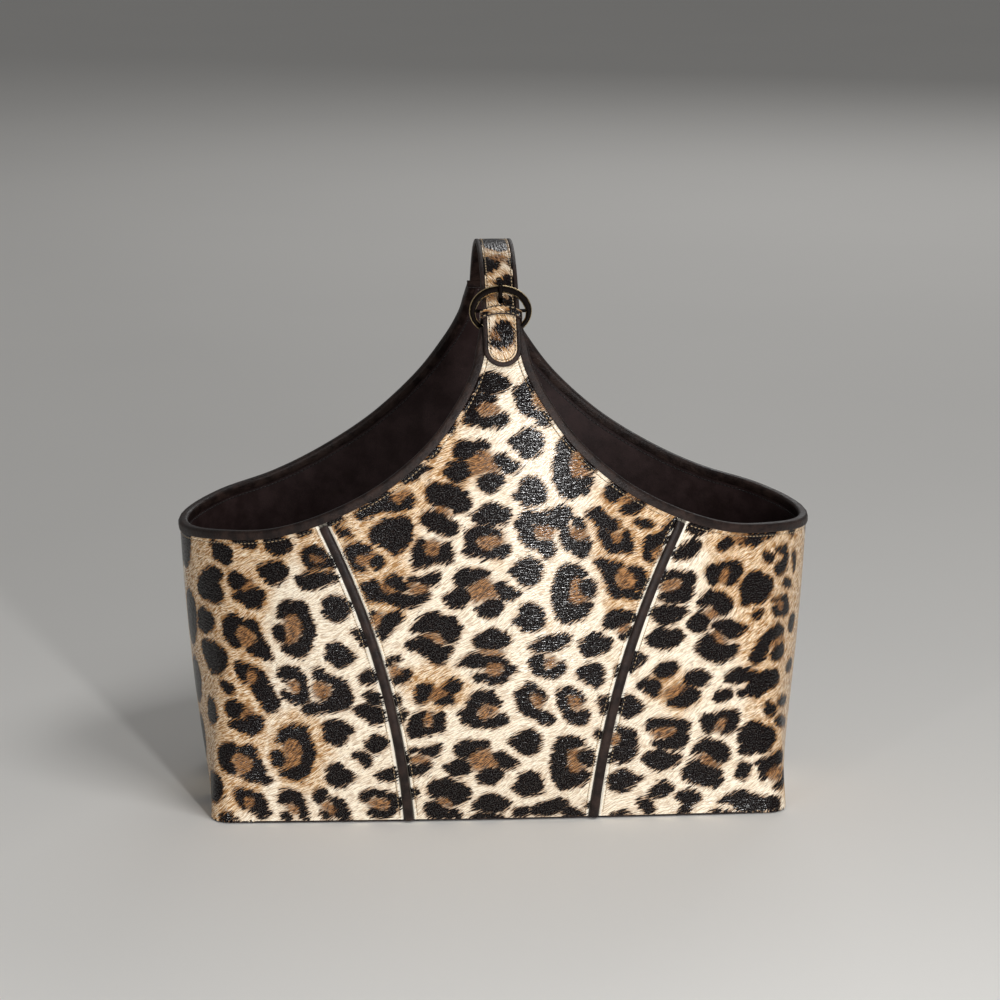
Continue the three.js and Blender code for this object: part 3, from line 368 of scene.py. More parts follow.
# The right end, whose band comes back above itself
RIGHT_BAND_SPOTS = (
    (95, 67, 98, 72, 104, 73, 112, 71, 121, 70, 127, 67, 125, 61, 124, 53, 120, 49, 112, 49, 104,
     51, 99, 54,
     104, 58, 110, 58, 115, 60, 117, 64, 112, 66, 105, 65, 98, 63),
    (92, 44, 97, 48, 104, 49, 112, 47, 121, 45, 119, 40, 112, 36, 104, 34, 98, 38),
    (134, 73, 142, 72, 148, 74, 161, 73, 163, 66, 160, 60, 154, 57, 148, 58, 150, 62, 152, 68, 147, 68,
     144, 62, 140, 58, 136, 61, 134, 67),
    (127, 47, 131, 53, 136, 56, 141, 55, 148, 52, 153, 49, 155, 43, 152, 38, 146, 37, 141, 40, 137,
     46, 131, 45),
    (160, 55, 165, 61, 170, 64, 176, 64, 181, 60, 187, 58, 191, 53, 189, 48, 184, 43, 178, 41, 172, 43,
     166, 41, 161, 43, 162, 49),
)
RIGHT_BAND_HEARTS = (
    (99, 63, 106, 66, 116, 65, 115, 60, 104, 58),
    (143, 60, 147, 69, 153, 69, 150, 60),
)
RIGHT_END_SPOTS = (
    (120, 31, 124, 37, 129, 41, 134, 41, 136, 37, 142, 35, 148, 33, 150, 27, 148, 22, 145, 20, 139, 21,
     133, 22, 127, 25, 122, 27),
    (75, 70, 80, 67, 86, 66, 89, 62, 90, 55, 90, 48, 86, 43, 81, 41, 75, 42, 70, 42, 70, 48, 75, 56,
     79, 60, 75, 65),
    (70, 30, 75, 35, 82, 37, 87, 34, 90, 31, 95, 30, 91, 27, 86, 22, 82, 19, 76, 20, 71, 24),
    (77, 88, 81, 91, 86, 90, 90, 86, 95, 81, 90, 77, 84, 74, 79, 75, 76, 80),
    (97, 15, 101, 21, 104, 25, 109, 27, 115, 23, 116, 21, 112, 16, 107, 14, 101, 14),
    (90, 13, 94, 15, 99, 14, 102, 9, 103, 2, 97, 2, 93, 7),
    (88, 97, 93, 101, 100, 102, 105, 98, 106, 93, 104, 89, 100, 88, 95, 92),
    (116, 14, 120, 18, 126, 19, 132, 17, 135, 12, 132, 9, 127, 7, 127, 1, 116, 1, 122, 6, 121, 10),
    (145, 9, 150, 13, 157, 16, 163, 17, 170, 13, 178, 11, 186, 11, 190, 7, 188, 1, 160, 1, 158, 6, 152, 8),
    (158, 27, 159, 33, 163, 37, 168, 36, 170, 32, 167, 26, 162, 24),
    (170, 36, 180, 38, 187, 40, 194, 41, 200, 39, 199, 33, 192, 31, 185, 28, 180, 26, 178, 21, 175,
     28, 176, 33),
    (184, 17, 190, 20, 196, 25, 203, 27, 203, 20, 194, 16, 188, 15),
    (181, 72, 184, 76, 188, 75, 193, 71, 192, 67, 187, 65, 183, 67),
    (190, 63, 197, 64, 205, 61, 215, 57, 213, 53, 205, 55, 197, 56, 191, 60),
    (193, 74, 200, 76, 215, 73, 215, 68, 200, 70),
    (110, 84, 116, 88, 122, 92, 127, 95, 131, 91, 134, 87, 131, 82, 126, 79, 118, 79, 111, 81),
    (121, 97, 124, 103, 130, 105, 137, 103, 142, 99, 140, 95, 133, 92, 129, 94, 125, 93),
    (142, 84, 146, 88, 151, 89, 156, 88, 158, 84, 154, 81, 147, 80),
    (150, 96, 155, 100, 162, 102, 170, 101, 178, 97, 186, 97, 194, 97, 198, 93, 198, 87, 190, 85, 182, 83,
     175, 80, 170, 84, 163, 82, 160, 85, 168, 90, 172, 92, 163, 92, 156, 92),
    (100, 104, 102, 109, 106, 112, 112, 113, 118, 110, 116, 105, 111, 101, 106, 100),
    (94, 128, 98, 133, 104, 136, 111, 134, 117, 135, 120, 131, 122, 128, 117, 124, 111, 121, 105,
     121, 99, 124),
    (123, 136, 127, 142, 132, 145, 137, 143, 141, 138, 139, 133, 134, 130, 129, 131),
    (140, 135, 147, 137, 154, 137, 160, 134, 168, 131, 170, 130, 165, 126, 158, 123, 151, 126, 146, 129),
    (129, 119, 133, 125, 139, 130, 144, 127, 146, 123, 149, 119, 157, 120, 164, 117, 160, 112, 153, 109,
     147, 107, 143, 109, 137, 111, 132, 115),
    (173, 135, 175, 139, 182, 140, 184, 138, 178, 134),
    (190, 144, 196, 145, 207, 145, 213, 143, 216, 132, 211, 130, 200, 132, 193, 134, 192, 139, 198, 141,
     199, 136, 206, 135, 207, 141, 198, 142),
    (205, 153, 208, 156, 213, 155, 219, 151, 218, 148, 213, 149, 208, 151),
    (171, 107, 173, 112, 178, 118, 184, 123, 192, 126, 199, 127, 206, 123, 208, 119, 200, 117, 193, 117,
     187, 114, 186, 109, 181, 105, 175, 103),
    (188, 106, 192, 110, 198, 113, 205, 114, 208, 110, 207, 104, 200, 102, 193, 103),
    (183, 178, 186, 179, 190, 177, 195, 175, 194, 171, 189, 170, 185, 173),
    (195, 178, 202, 179, 210, 179, 212, 174, 213, 168, 210, 162, 204, 159, 198, 161, 194, 165, 199, 168,
     204, 169, 206, 173, 201, 175),
    (121, 201, 124, 206, 130, 208, 137, 206, 142, 202, 140, 199, 133, 198, 128, 195, 126, 199),
    (111, 186, 117, 190, 123, 194, 129, 195, 133, 192, 132, 187, 128, 183, 121, 182, 113, 182),
    (145, 187, 149, 192, 155, 193, 160, 190, 158, 187, 152, 184, 147, 184),
    (151, 199, 157, 200, 166, 198, 160, 196),
    (161, 187, 168, 192, 175, 194, 184, 192, 193, 192, 200, 190, 192, 187, 186, 188, 181, 185, 176,
     183, 171, 186),
    (211, 189, 217, 190, 221, 186, 219, 183, 214, 185),
    (218, 172, 224, 171, 226, 165, 224, 158, 221, 158, 220, 164),
    (215, 122, 218, 127, 225, 128, 230, 124, 229, 118, 222, 116, 217, 118),
    (212, 92, 217, 96, 226, 97, 232, 90, 220, 88),
    (86, 122, 90, 120, 96, 117, 92, 112, 86, 108, 84, 105, 82, 112, 84, 118),
    (72, 1, 76, 3, 80, 5, 86, 3, 90, 1),
    (140, 1, 143, 4, 150, 3, 157, 1),
)
RIGHT_END_HEARTS = (
    (131, 43, 138, 45, 144, 38, 148, 34, 138, 36, 134, 41),
    (70, 60, 76, 64, 79, 58, 73, 53),
    (142, 130, 148, 129, 152, 122, 147, 121, 143, 126),
    (158, 192, 168, 195, 172, 190, 163, 188),
    (199, 141, 207, 141, 206, 135, 199, 136),
    (180, 30, 190, 31, 196, 27, 184, 22),
    (135, 143, 141, 147, 147, 141, 141, 139),
    (107, 90, 120, 96, 122, 90, 112, 86),
    (187, 113, 196, 117, 206, 117, 196, 113),
)

# The strap: across and up along its middle line, from the top of the front neck
STRAP_SPOTS = (
    (-9, 98, -9, 84, -6, 77, 0, 73, 3, 71, 6, 75, 8, 80, 8, 88, 7, 100, -2, 108, -8, 104),
    (-11, 62, -6, 62, -3, 60, 0, 55, 1, 52, -1, 48, -4, 46, -6, 43, -11, 43),
    (6, 54, 6, 58, 9, 62, 11, 62, 11, 48, 8, 50),
    (-3, 35, 0, 37, 3, 38, 4, 42, 7, 42, 11, 38, 11, 30, 4, 31, -1, 32),
    (1, 20, 3, 22, 6, 21, 11, 22, 11, 11, 4, 10, 2, 13, 1, 17),
    (-4, 0, 1, 2, 5, 1, 7, -3, 8, -8, 7, -14, 3, -17, -5, -17, -9, -13, -8, -9, -4, -7, -5, -3),
)
STRAP_HEARTS = (
    (-8, -6, -4, -5, 0, -9, -2, -12, -6, -10),
    (-8, 27, -5, 28, -4, 22, -8, 19),
    (-5, 62, 2, 66, 5, 60, 0, 56),
)

STRAP_TAN = ((-3, -24, 3, -24, 4, 30, 5, 84, -4, 90, -2, 30),)

# The keeper: round its front from right to left and along the strap
KEEPER_SPOTS = (
    (-4, -5, 8, -5, 11, -1, 6, 3, 2, 1, -4, 2),
    (21, -4, 26, -5, 27, 0, 23, 0),
    (36, -5, 48, -5, 46, 5, 36, 4),
)
KEEPER_TAN = (
    (-5, -8, 80, -8, 80, 8, -5, 8),
)

# Tan ground, with a soft edge
MIDDLE_TAN = (
    (-118, 218, -100, 218, -60, 245, -50, 238, -58, 215, -62, 200, -70, 185, -66, 160, -72, 150,
     -100, 160, -115, 190),
    (-46, 300, -52, 250, -40, 232, -24, 240, -26, 262, -34, 300),
    (56, 222, 60, 200, 72, 176, 66, 160, 78, 150, 96, 160, 118, 195, 118, 214, 90, 240),
    (-62, 110, -52, 92, -40, 84, -28, 96, -40, 110),
)
LEFT_END_TAN = (
    (-250, 0, -250, 200, -150, 215, -140, 190, -160, 165, -168, 120, -160, 60, -170, 0),
    (-150, 30, -130, 26, -118, 44, -128, 74, -146, 76, -156, 50),
    (-136, 210, -100, 200, -104, 186, -132, 176),
)
RIGHT_END_TAN = (
    (178, 60, 172, 120, 150, 150, 140, 185, 150, 215, 250, 215, 250, 0, 205, 0, 186, 40),
    (100, 96, 120, 104, 130, 92, 118, 84, 104, 86),
)


# The wall surface


class Line:
    """A polyline measured by length."""

    def __init__(self, points):
        self.points = np.array(points, float)
        steps = np.linalg.norm(np.diff(self.points, axis=0), axis=1)
        self.lengths = np.concatenate([[0], np.cumsum(steps)])
        self.total = self.lengths[-1]

    def at(self, length):
        columns = [np.interp(length, self.lengths, self.points[:, k]) for k in range(self.points.shape[1])]
        return np.stack(columns, -1)


def base_quarter():
    straight = BASE_LENGTH / 2 - BASE_CORNER
    share = np.linspace(0, 1, 25)
    side = np.stack([straight * share, BASE_BOW * share * share - BASE_DEPTH / 2], -1)
    turn = (share[1:] - 1) * math.pi / 2
    centre = np.array([straight, BASE_BOW + BASE_CORNER - BASE_DEPTH / 2])
    corner = centre + BASE_CORNER * np.stack([np.cos(turn), np.sin(turn)], -1)
    return Line(np.vstack([side, corner, [[BASE_LENGTH / 2, 0]]]))


def rim_quarter():
    turn = np.linspace(0, math.pi / 2, 241)
    return Line(np.stack([np.sin(turn) * RIM_LENGTH / 2, -np.cos(turn) * RIM_DEPTH / 2], -1))


def smooth_line(points, count):
    """Points along a curve that passes through the given ones."""
    p = np.array(points, float)
    last = len(p) - 1
    at = np.linspace(0, last, count + 1)
    k = np.minimum(at.astype(int), last - 1)
    w = (at - k)[:, None]
    before, start, end, after = p[np.maximum(k - 1, 0)], p[k], p[k + 1], p[np.minimum(k + 2, last)]
    leave, arrive = (end - before) / 2, (after - start) / 2
    return (
        (2 * start - 2 * end + leave + arrive) * w**3
        + (3 * end - 3 * start - 2 * leave - arrive) * w**2
        + leave * w
        + start
    )


BASE_LINE = base_quarter()
RIM_PLAN = rim_quarter()


def rise(height):
    """How far the plan has gone from the base's outline to the rim's: quickest near the base."""
    climb = np.clip(height / SHOULDER, 0, 1)
    return np.sin(math.pi / 2 * climb) + FLARE_FULLNESS * climb * (1 - climb) ** 3


def quarter_length(height):
    return BASE_LINE.total + (RIM_PLAN.total - BASE_LINE.total) * rise(height)


def quarter_point(share, height):
    share, height = np.broadcast_arrays(np.asarray(share, float), np.asarray(height, float))
    lean = rise(height)[..., None]
    low = BASE_LINE.at(share * BASE_LINE.total)
    high = RIM_PLAN.at(share * RIM_PLAN.total)
    flat = low + (high - low) * lean
    shrink = np.sqrt(1 - (np.maximum(height - SHOULDER, 0) / ARCH_RISE) ** 2)
    return np.stack([flat[..., 0], flat[..., 1] * shrink, height], -1)


def unit(v):
    return v / np.linalg.norm(v, axis=-1, keepdims=True)


def quarter_normal(share, height):
    step = 1 / 500
    lift = step * SHOULDER
    share, height = np.broadcast_arrays(np.asarray(share, float), np.asarray(height, float))
    after, before = np.minimum(share + step, 1), np.maximum(share - step, 0)
    along = quarter_point(after, height) - quarter_point(before, height)
    up = quarter_point(share, height + lift) - quarter_point(share, np.maximum(height - lift, 0))
    normal = np.cross(along, up)
    normal[..., 0] = np.where(share <= 0, 0, normal[..., 0])
    normal[..., 1] = np.where(share >= 1, 0, normal[..., 1])
    return unit(normal)


def mirrored(v, hand, side):
    return v * np.stack(np.broadcast_arrays(hand, side, 1), -1)


def wall_normal(share, height, hand, side):
    return mirrored(quarter_normal(share, height), hand, side)


def wall_point(share, height, out, hand, side):
    """A point of the wall; out is measured off its outer face, inwards where it is negative."""
    normal = quarter_normal(share, height)
    level = normal * (1, 1, 0)
    level = level / np.sum(level * level, axis=-1, keepdims=True)
    above = (np.asarray(height) >= SHOULDER)[..., None]
    offset = np.where(above, normal, level) * np.asarray(out)[..., None]
    return mirrored(quarter_point(share, height) + offset, hand, side)


RIM_LINE = Line([
    (NECK_WIDTH / 2 + (RIM_LENGTH / 2 - NECK_WIDTH / 2) * across,
     RIM_END_HEIGHT + (NECK_TOP - RIM_END_HEIGHT) * up)
    for across, up in smooth_line(RIM_SHARES, 480)
])


def share_across(x, height):
    """The share at which the wall at that height is x from the middle."""
    low, high = np.zeros_like(x), np.ones_like(x)
    for _ in range(40):
        middle = (low + high) / 2
        short = quarter_point(middle, height)[..., 0] < x
        low, high = np.where(short, middle, low), np.where(short, high, middle)
    return (low + high) / 2


RIM_AT = share_across(RIM_LINE.points[:, 0], RIM_LINE.points[:, 1])


def rim_height(share):
    return np.interp(share, RIM_AT, RIM_LINE.points[:, 1])


SEAM_HEAD_HEIGHT = float(rim_height(SEAM_HEAD))
SEAM_HEAD_LENGTH = float(np.interp(SEAM_HEAD, RIM_AT, RIM_LINE.lengths))


def seam_share(climb):
    return SEAM_FOOT + (SEAM_HEAD - SEAM_FOOT) * (SEAM_LEAN * climb + (1 - SEAM_LEAN) * climb**SEAM_POWER)


def height_up_wall(height):
    """Length up the middle of the wall, which bends over above the shoulder."""
    turn = np.linspace(0, math.pi / 2, 400)
    arc = Line(np.stack([np.cos(turn) * RIM_DEPTH / 2, np.sin(turn) * ARCH_RISE], -1))
    past = np.interp(height - SHOULDER, arc.points[:, 1], arc.lengths)
    return np.where(height < SHOULDER, height, SHOULDER + past)


# The handle arch, by the distance from the front neck top towards the back

ARCH_TURN = np.linspace(0, math.pi, 1801)
ARCH = Line(np.stack([
    np.zeros_like(ARCH_TURN),
    -np.cos(ARCH_TURN) * RIM_DEPTH / 2,
    SHOULDER + np.sin(ARCH_TURN) * ARCH_RISE,
], -1))
ARCH_FOOT = float(np.interp(NECK_TOP, ARCH.points[:900, 2], ARCH.lengths[:900]))
ARCH_SPAN = ARCH.total - 2 * ARCH_FOOT
STRAP_SEAT_FRONT = 2 * GAP + TAB
STRAP_SEAT_BACK = 2 * GAP + BINDING
BAR_LIFT = -BAR_DIAMETER / 2
TAB_INSIDE = BAR_DIAMETER / 2 + GAP
TAB_OUTSIDE = TAB_INSIDE + TAB


def arch_point(x, distance, lift):
    """A point over the arch: across it, along it and off it."""
    middle = ARCH.at(np.asarray(distance) + ARCH_FOOT)
    along = unit(np.stack([
        np.zeros_like(middle[..., 2]),
        (middle[..., 2] - SHOULDER) * (RIM_DEPTH / 2) / ARCH_RISE,
        -middle[..., 1] * ARCH_RISE / (RIM_DEPTH / 2),
    ], -1))
    out = np.cross(np.array([1.0, 0, 0]), along)
    return middle + out * np.asarray(lift)[..., None] + np.asarray(x)[..., None] * np.array([1.0, 0, 0])


def arch_matrix(distance, lift):
    """Across, along and off the arch as the columns of a placing matrix."""
    at = arch_point(0.0, distance, lift)
    ahead = arch_point(0.0, distance + 0.01 * MM, lift)
    along = Vector(unit(ahead - at))
    out = Vector((1, 0, 0)).cross(along)
    return Matrix.Translation(Vector(at)) @ Matrix((Vector((1, 0, 0)), along, out)).transposed().to_4x4()


def strap_seat(distance):
    over = np.clip(distance / ARCH_SPAN, 0, 1)
    past = np.clip((distance - BAR_DISTANCE - STRAP_DIP_START) / STRAP_DIP_LENGTH, 0, 1)
    dip = STRAP_DIP * np.sin(math.pi * past**STRAP_DIP_POWER) ** 2
    return STRAP_SEAT_FRONT + (STRAP_SEAT_BACK - STRAP_SEAT_FRONT) * over - dip


# Making meshes


def deselect():
    if bpy.context.object and bpy.context.object.mode != "OBJECT":
        bpy.ops.object.mode_set(mode="OBJECT")
    bpy.ops.object.select_all(action="DESELECT")


def take(obj):
    deselect()
    obj.select_set(True)
    bpy.context.view_layer.objects.active = obj
    return obj


def edit(obj, *steps):
    """Runs edit-mode steps on the whole mesh of one object."""
    take(obj)
    bpy.ops.object.mode_set(mode="EDIT")
    bpy.ops.mesh.select_all(action="SELECT")
    for step in steps:
        step()
    bpy.ops.object.mode_set(mode="OBJECT")
    return obj


def finish_with(obj, kind, **settings):
    take(obj)
    modifier = obj.modifiers.new(kind.title(), kind)
    for key, value in settings.items():
        setattr(modifier, key, value)
    bpy.ops.object.modifier_apply(modifier=modifier.name)
    return obj


def smooth(obj, angle=40):
    take(obj)
    bpy.ops.object.shade_smooth_by_angle(angle=math.radians(angle))
    return obj


def outward(obj):
    return edit(obj, lambda: bpy.ops.mesh.normals_make_consistent(inside=False))


def join(obj, other):
    """Adds another object to one."""
    deselect()
    other.select_set(True)
    obj.select_set(True)
    bpy.context.view_layer.objects.active = obj
    bpy.ops.object.join()
    return obj


def lay_grid(name, points, uv=None, **attributes):
    """A grid primitive with its points laid on a surface, given as rows of columns."""
    rows, columns = points.shape[:2]
    deselect()
    bpy.ops.mesh.primitive_grid_add(x_subdivisions=columns - 1, y_subdivisions=rows - 1, size=1)
    obj = bpy.context.object
    obj.name = name
    obj.data.name = name
    mesh = obj.data
    if len(mesh.vertices) != rows * columns:
        raise RuntimeError(f"{name}: the grid has {len(mesh.vertices)} points, {rows * columns} expected")
    mesh.vertices.foreach_set("co", points.reshape(-1).astype(np.float32))
    if uv is not None:
        layer = mesh.uv_layers.active
        layer.name = "Print"
        loops = np.empty(len(mesh.loops), int)
        mesh.loops.foreach_get("vertex_index", loops)
        layer.data.foreach_set("uv", uv.reshape(-1, 2)[loops].reshape(-1).astype(np.float32))
    for key, values in attributes.items():
        attribute = mesh.attributes.new(key, "FLOAT", "POINT")
        attribute.data.foreach_set("value", values.reshape(-1).astype(np.float32))
    mesh.update()
    return obj


WELD_REACH = 1e-6


def weld(obj):
    """Joins the meeting edges of a closed grid and turns its faces outwards."""
    return edit(
        obj,
        lambda: bpy.ops.mesh.remove_doubles(threshold=WELD_REACH),
        lambda: bpy.ops.mesh.normals_make_consistent(inside=False),
    )


def close_grid(obj):
    """Joins the meeting edges of a rolled-up grid, closes its ends and turns its faces outwards."""
    return edit(
        obj,
        lambda: bpy.ops.mesh.remove_doubles(threshold=WELD_REACH),
        lambda: bpy.ops.mesh.select_all(action="DESELECT"),
        lambda: bpy.ops.mesh.select_non_manifold(),
        lambda: bpy.ops.mesh.fill_holes(sides=0),
        lambda: bpy.ops.mesh.select_all(action="SELECT"),
        lambda: bpy.ops.mesh.normals_make_consistent(inside=False),
    )


def dress(obj, body, slot_name, material, *nodes):
    """Gives a finished piece its material and its body, and hides the solid model's nodes that it stands for.
    """
    if material is not None:
        obj.data.materials.clear()
        obj.data.materials.append(material)
    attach(obj, body)
    if nodes:
        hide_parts(*nodes)
    return obj


# Stitching


def stitch_frames(points, normals, pitch):
    """Evenly spaced places along a line, with the line's direction and the surface's normal."""
    line = Line(points)
    count = max(int(line.total / pitch), 2)
    at = (np.arange(count) + 0.5) * line.total / count
    place = line.at(at)
    ahead = unit(line.at(at + pitch / 4) - line.at(at - pitch / 4))
    normal = np.stack([np.interp(at, line.lengths, normals[:, k]) for k in range(3)], -1)
    normal = unit(normal - ahead * np.sum(normal * ahead, axis=-1, keepdims=True))
    return place, ahead, normal


def bead_mesh(segments, rings):
    """Points and faces of one small rounded bead, from a sphere primitive."""
    deselect()
    bpy.ops.mesh.primitive_uv_sphere_add(segments=segments, ring_count=rings, radius=1)
    obj = bpy.context.object
    points = np.array([v.co[:] for v in obj.data.vertices])
    faces = [tuple(p.vertices) for p in obj.data.polygons]
    bpy.data.objects.remove(obj)
    return points, faces


# Half length, half width and half depth of the dark bead of painted shadow at a needle hole, and how high the
# beads sit
NEEDLE_HOLE = (0.75 * MM, 0.52 * MM, 0.12 * MM)
NEEDLE_HOLE_LIFT = 0.02 * MM
THREAD_LIFT = 0.2


def add_stitching(name, lines, sizes, thread, hole):
    """Rows of raised stitches, each with a dark bead of painted shadow for the needle hole at its end, as one
    piece.
    """
    bead, pit = bead_mesh(6, 4), bead_mesh(6, 3)
    bead_size = (sizes.stitch_length / 2, sizes.stitch_width / 2, sizes.stitch_height)
    points, faces, kinds = [], [], []
    for line_points, line_normals in lines:
        place, ahead, normal = stitch_frames(line_points, line_normals, sizes.stitch_pitch)
        across = np.cross(normal, ahead)
        for p, a, n, c in zip(place, ahead, normal, across):
            stitch = p + n * sizes.stitch_height * THREAD_LIFT
            puncture = p + a * sizes.stitch_pitch / 2 + n * NEEDLE_HOLE_LIFT
            # The pit is a dark bead of painted shadow where the needle hole is
            for (base, base_faces), centre, size, kind in (
                (bead, stitch, bead_size, 0), (pit, puncture, NEEDLE_HOLE, 1),
            ):
                start = len(points)
                points.extend(centre + (base * size) @ np.stack([a, c, n]))
                faces.extend(tuple(start + i for i in face) for face in base_faces)
                kinds.extend([kind] * len(base_faces))
    mesh = bpy.data.meshes.new(name)
    mesh.from_pydata(points, [], faces)
    mesh.materials.append(thread)
    mesh.materials.append(hole)
    mesh.polygons.foreach_set("material_index", kinds)
    obj = bpy.data.objects.new(name, mesh)
    bpy.context.collection.objects.link(obj)
    outward(obj)
    take(obj)
    bpy.ops.object.shade_smooth()
    return obj


# Unrolled wall: across from the middle and up the wall, in metres


def unrolled(share, height):
    return np.stack(np.broadcast_arrays(share * quarter_length(height), height_up_wall(height)), -1)


UP_TABLE = np.linspace(0, SHOULDER + ARCH_RISE * 0.98, 900)
UP_LENGTHS = height_up_wall(UP_TABLE)


def rolled_up(flat):
    """Share and height of a point of the unrolled wall."""
    height = np.interp(flat[..., 1], UP_LENGTHS, UP_TABLE)
    return flat[..., 0] / quarter_length(height), height


SEAM_CLIMBS = np.linspace(0, 1, 141)
SEAM_FLAT = unrolled(seam_share(SEAM_CLIMBS), SEAM_CLIMBS * SEAM_HEAD_HEIGHT)
RIM_FLAT = unrolled(RIM_AT, RIM_LINE.points[:, 1])[::2]


def distance_to(line, flat):
    """How far points of the unrolled wall are from a line on it."""
    nearest = np.full(flat.shape[:-1], np.inf)
    for start, end in zip(line[:-1], line[1:]):
        step = end - start
        share = np.clip(((flat - start) @ step) / (step @ step), 0, 1)
        nearest = np.minimum(nearest, np.linalg.norm(flat - start - share[..., None] * step, axis=-1))
    return nearest


def beside(line, distance):
    """The line moved sideways over the unrolled wall, to the left of its direction."""
    ahead = unit(np.gradient(line, axis=0))
    return line + np.stack([-ahead[:, 1], ahead[:, 0]], -1) * distance


# Turned edges: how far the leather stands off beside a seam and under the binding
SEAM_RELIEF = (
    (0, -0.45), (0.3, -0.05), (0.7, 0.25), (1.5, 0.28), (1.9, -0.1), (2.3, -0.32), (2.8, -0.12), (3.8, 0),
)
RIM_RELIEF = ((-1, 0), (0, 0.1), (0.7, 0.25), (1.6, 0.2), (2.0, -0.15), (2.4, -0.3), (2.9, -0.1), (3.9, 0))
PANEL_SEAM_GAP = PIPING_WIDTH / 2 + SEAM_EASE
BUTT_GAP = 0.3 * MM
BINDING_FOOT = BINDING_HEIGHT - GAP
STITCH_ROW = 2.3 * MM


def relief(profile, distance):
    at, lift = np.array(profile).T * MM
    return np.interp(distance, at, lift)


def turned_edges(flat):
    from_seam = distance_to(SEAM_FLAT, flat) - PANEL_SEAM_GAP
    from_rim = distance_to(RIM_FLAT, flat) - BINDING_FOOT
    lift = relief(SEAM_RELIEF, from_seam) + relief(RIM_RELIEF, from_rim)
    return np.where(from_rim < 0, np.minimum(lift, 0), lift)


def eased(total, near, steps):
    """Places from 0 to total: the given ones at both ends and even ones between."""
    near = np.array(near)
    inner = np.linspace(near[-1], total - near[-1], steps + 1)[1:-1]
    return np.concatenate([near, inner, (total - near)[::-1]])


NEAR_EDGE = tuple(np.array([0, 0.3, 0.7, 1.1, 1.5, 1.9, 2.3, 2.8, 3.8, 5.2]) * MM)
NEAR_RIM = tuple(np.array([0, 3, 4.9, 5.5, 6.0, 6.5, 6.9, 7.3, 7.8, 8.8, 10.2]) * MM)


def middle_rows(foot, gap, step):
    """Height and half width, along the wall, of every row of a middle panel."""
    low = int(round(SEAM_HEAD_HEIGHT / step))
    climb = np.arange(low + 1) / low
    height = np.maximum(climb * SEAM_HEAD_HEIGHT, foot)
    height = height[(np.diff(height, prepend=-1)) > 1e-9]
    half = seam_share(height / SEAM_HEAD_HEIGHT) * quarter_length(height) - gap
    steps = int(round(SEAM_HEAD_LENGTH / step))
    length = SEAM_HEAD_LENGTH * (1 - np.arange(1, steps + 1) / steps)
    rim_x, rim_up = RIM_LINE.at(length).T
    rim_half = share_across(rim_x, rim_up) * quarter_length(rim_up)
    ease = gap * np.clip(1 - (SEAM_HEAD_LENGTH - length) / (BINDING_HEIGHT * 2), 0, 1)
    return np.concatenate([height, rim_up]), np.concatenate([half, rim_half - ease])


def middle_grid(foot, gap, step, near):
    """Share, hand and height over a middle panel, from its left edge to its right."""
    height, half = middle_rows(foot, gap, step)
    steps = int(round(2 * half.max() / step))
    fit = np.minimum(1, half / (2.5 * near[-1]))
    across = np.array([eased(2 * w, np.array(near) * k, steps) - w for w, k in zip(half, fit)])
    height = np.broadcast_to(height[:, None], across.shape)
    return np.abs(across) / quarter_length(height), np.where(across < 0, -1, 1), height


def end_grid(foot, gap, step, near, near_rim):
    """Share, side and height over an end panel, from its front seam round to its back one."""
    base = 2 * (1 - SEAM_FOOT) * quarter_length(0.0)
    columns = int(round(base / step))
    top = SEAM_HEAD_HEIGHT
    up = np.arange(int(round(top / step)) + 1) * step / top
    rows = np.concatenate([up[up < 1 - near_rim[-1] / top], 1 - np.array(near_rim)[::-1] / top])
    share, side, height = [], [], []
    for climb in rows:
        length = (1 - seam_share(climb)) * quarter_length(climb * top) * 2 - 2 * gap
        across = eased(length, near, columns) + gap
        ratio = across / (length + 2 * gap)
        half_way = 1 - np.abs(2 * ratio - 1)
        at = seam_share(climb) + (1 - seam_share(climb)) * half_way
        share.append(at)
        side.append(np.where(ratio <= 0.5, 1, -1))
        height.append(np.maximum(climb * rim_height(at), foot))
    share, side, height = np.array(share), np.array(side), np.array(height)
    keep = np.concatenate([[True], np.any(np.diff(height, axis=0) > 1e-7, axis=1)])
    return share[keep], side[keep], height[keep]


def wall_sheet(name, share, height, hand, side, out, thickness, uv=None):
    """A wall layer: its outer face laid on the wall, then given its thickness inwards."""
    hand, side, out = (np.broadcast_to(v, share.shape).astype(float) for v in (hand, side, out))
    points = wall_point(share, height, out, hand, side)
    obj = lay_grid(name, points, uv)
    middle = (points.shape[0] // 2, points.shape[1] // 2)
    away = Vector(wall_normal(share[middle], height[middle], hand[middle], side[middle]))
    face = min(obj.data.polygons, key=lambda p: (p.center - Vector(points[middle])).length)
    if face.normal.dot(away) < 0:
        edit(obj, lambda: bpy.ops.mesh.flip_normals())
    finish_with(obj, "SOLIDIFY", thickness=thickness, offset=-1, use_even_offset=False)
    return smooth(obj)


# The print

# Width and fade of the pale painted highlight on the turned edge beside the piping
FOLD_HIGHLIGHT_END = 1.6 * MM
FOLD_HIGHLIGHT_FADE = 0.7 * MM
PRINT_REACH = 14


def rounded(outline):
    """An outline's corners with every corner cut once."""
    corners = np.array(outline, float).reshape(-1, 2)
    ahead = np.roll(corners, -1, axis=0)
    return np.stack([corners * 0.75 + ahead * 0.25, corners * 0.25 + ahead * 0.75], 1).reshape(-1, 2)


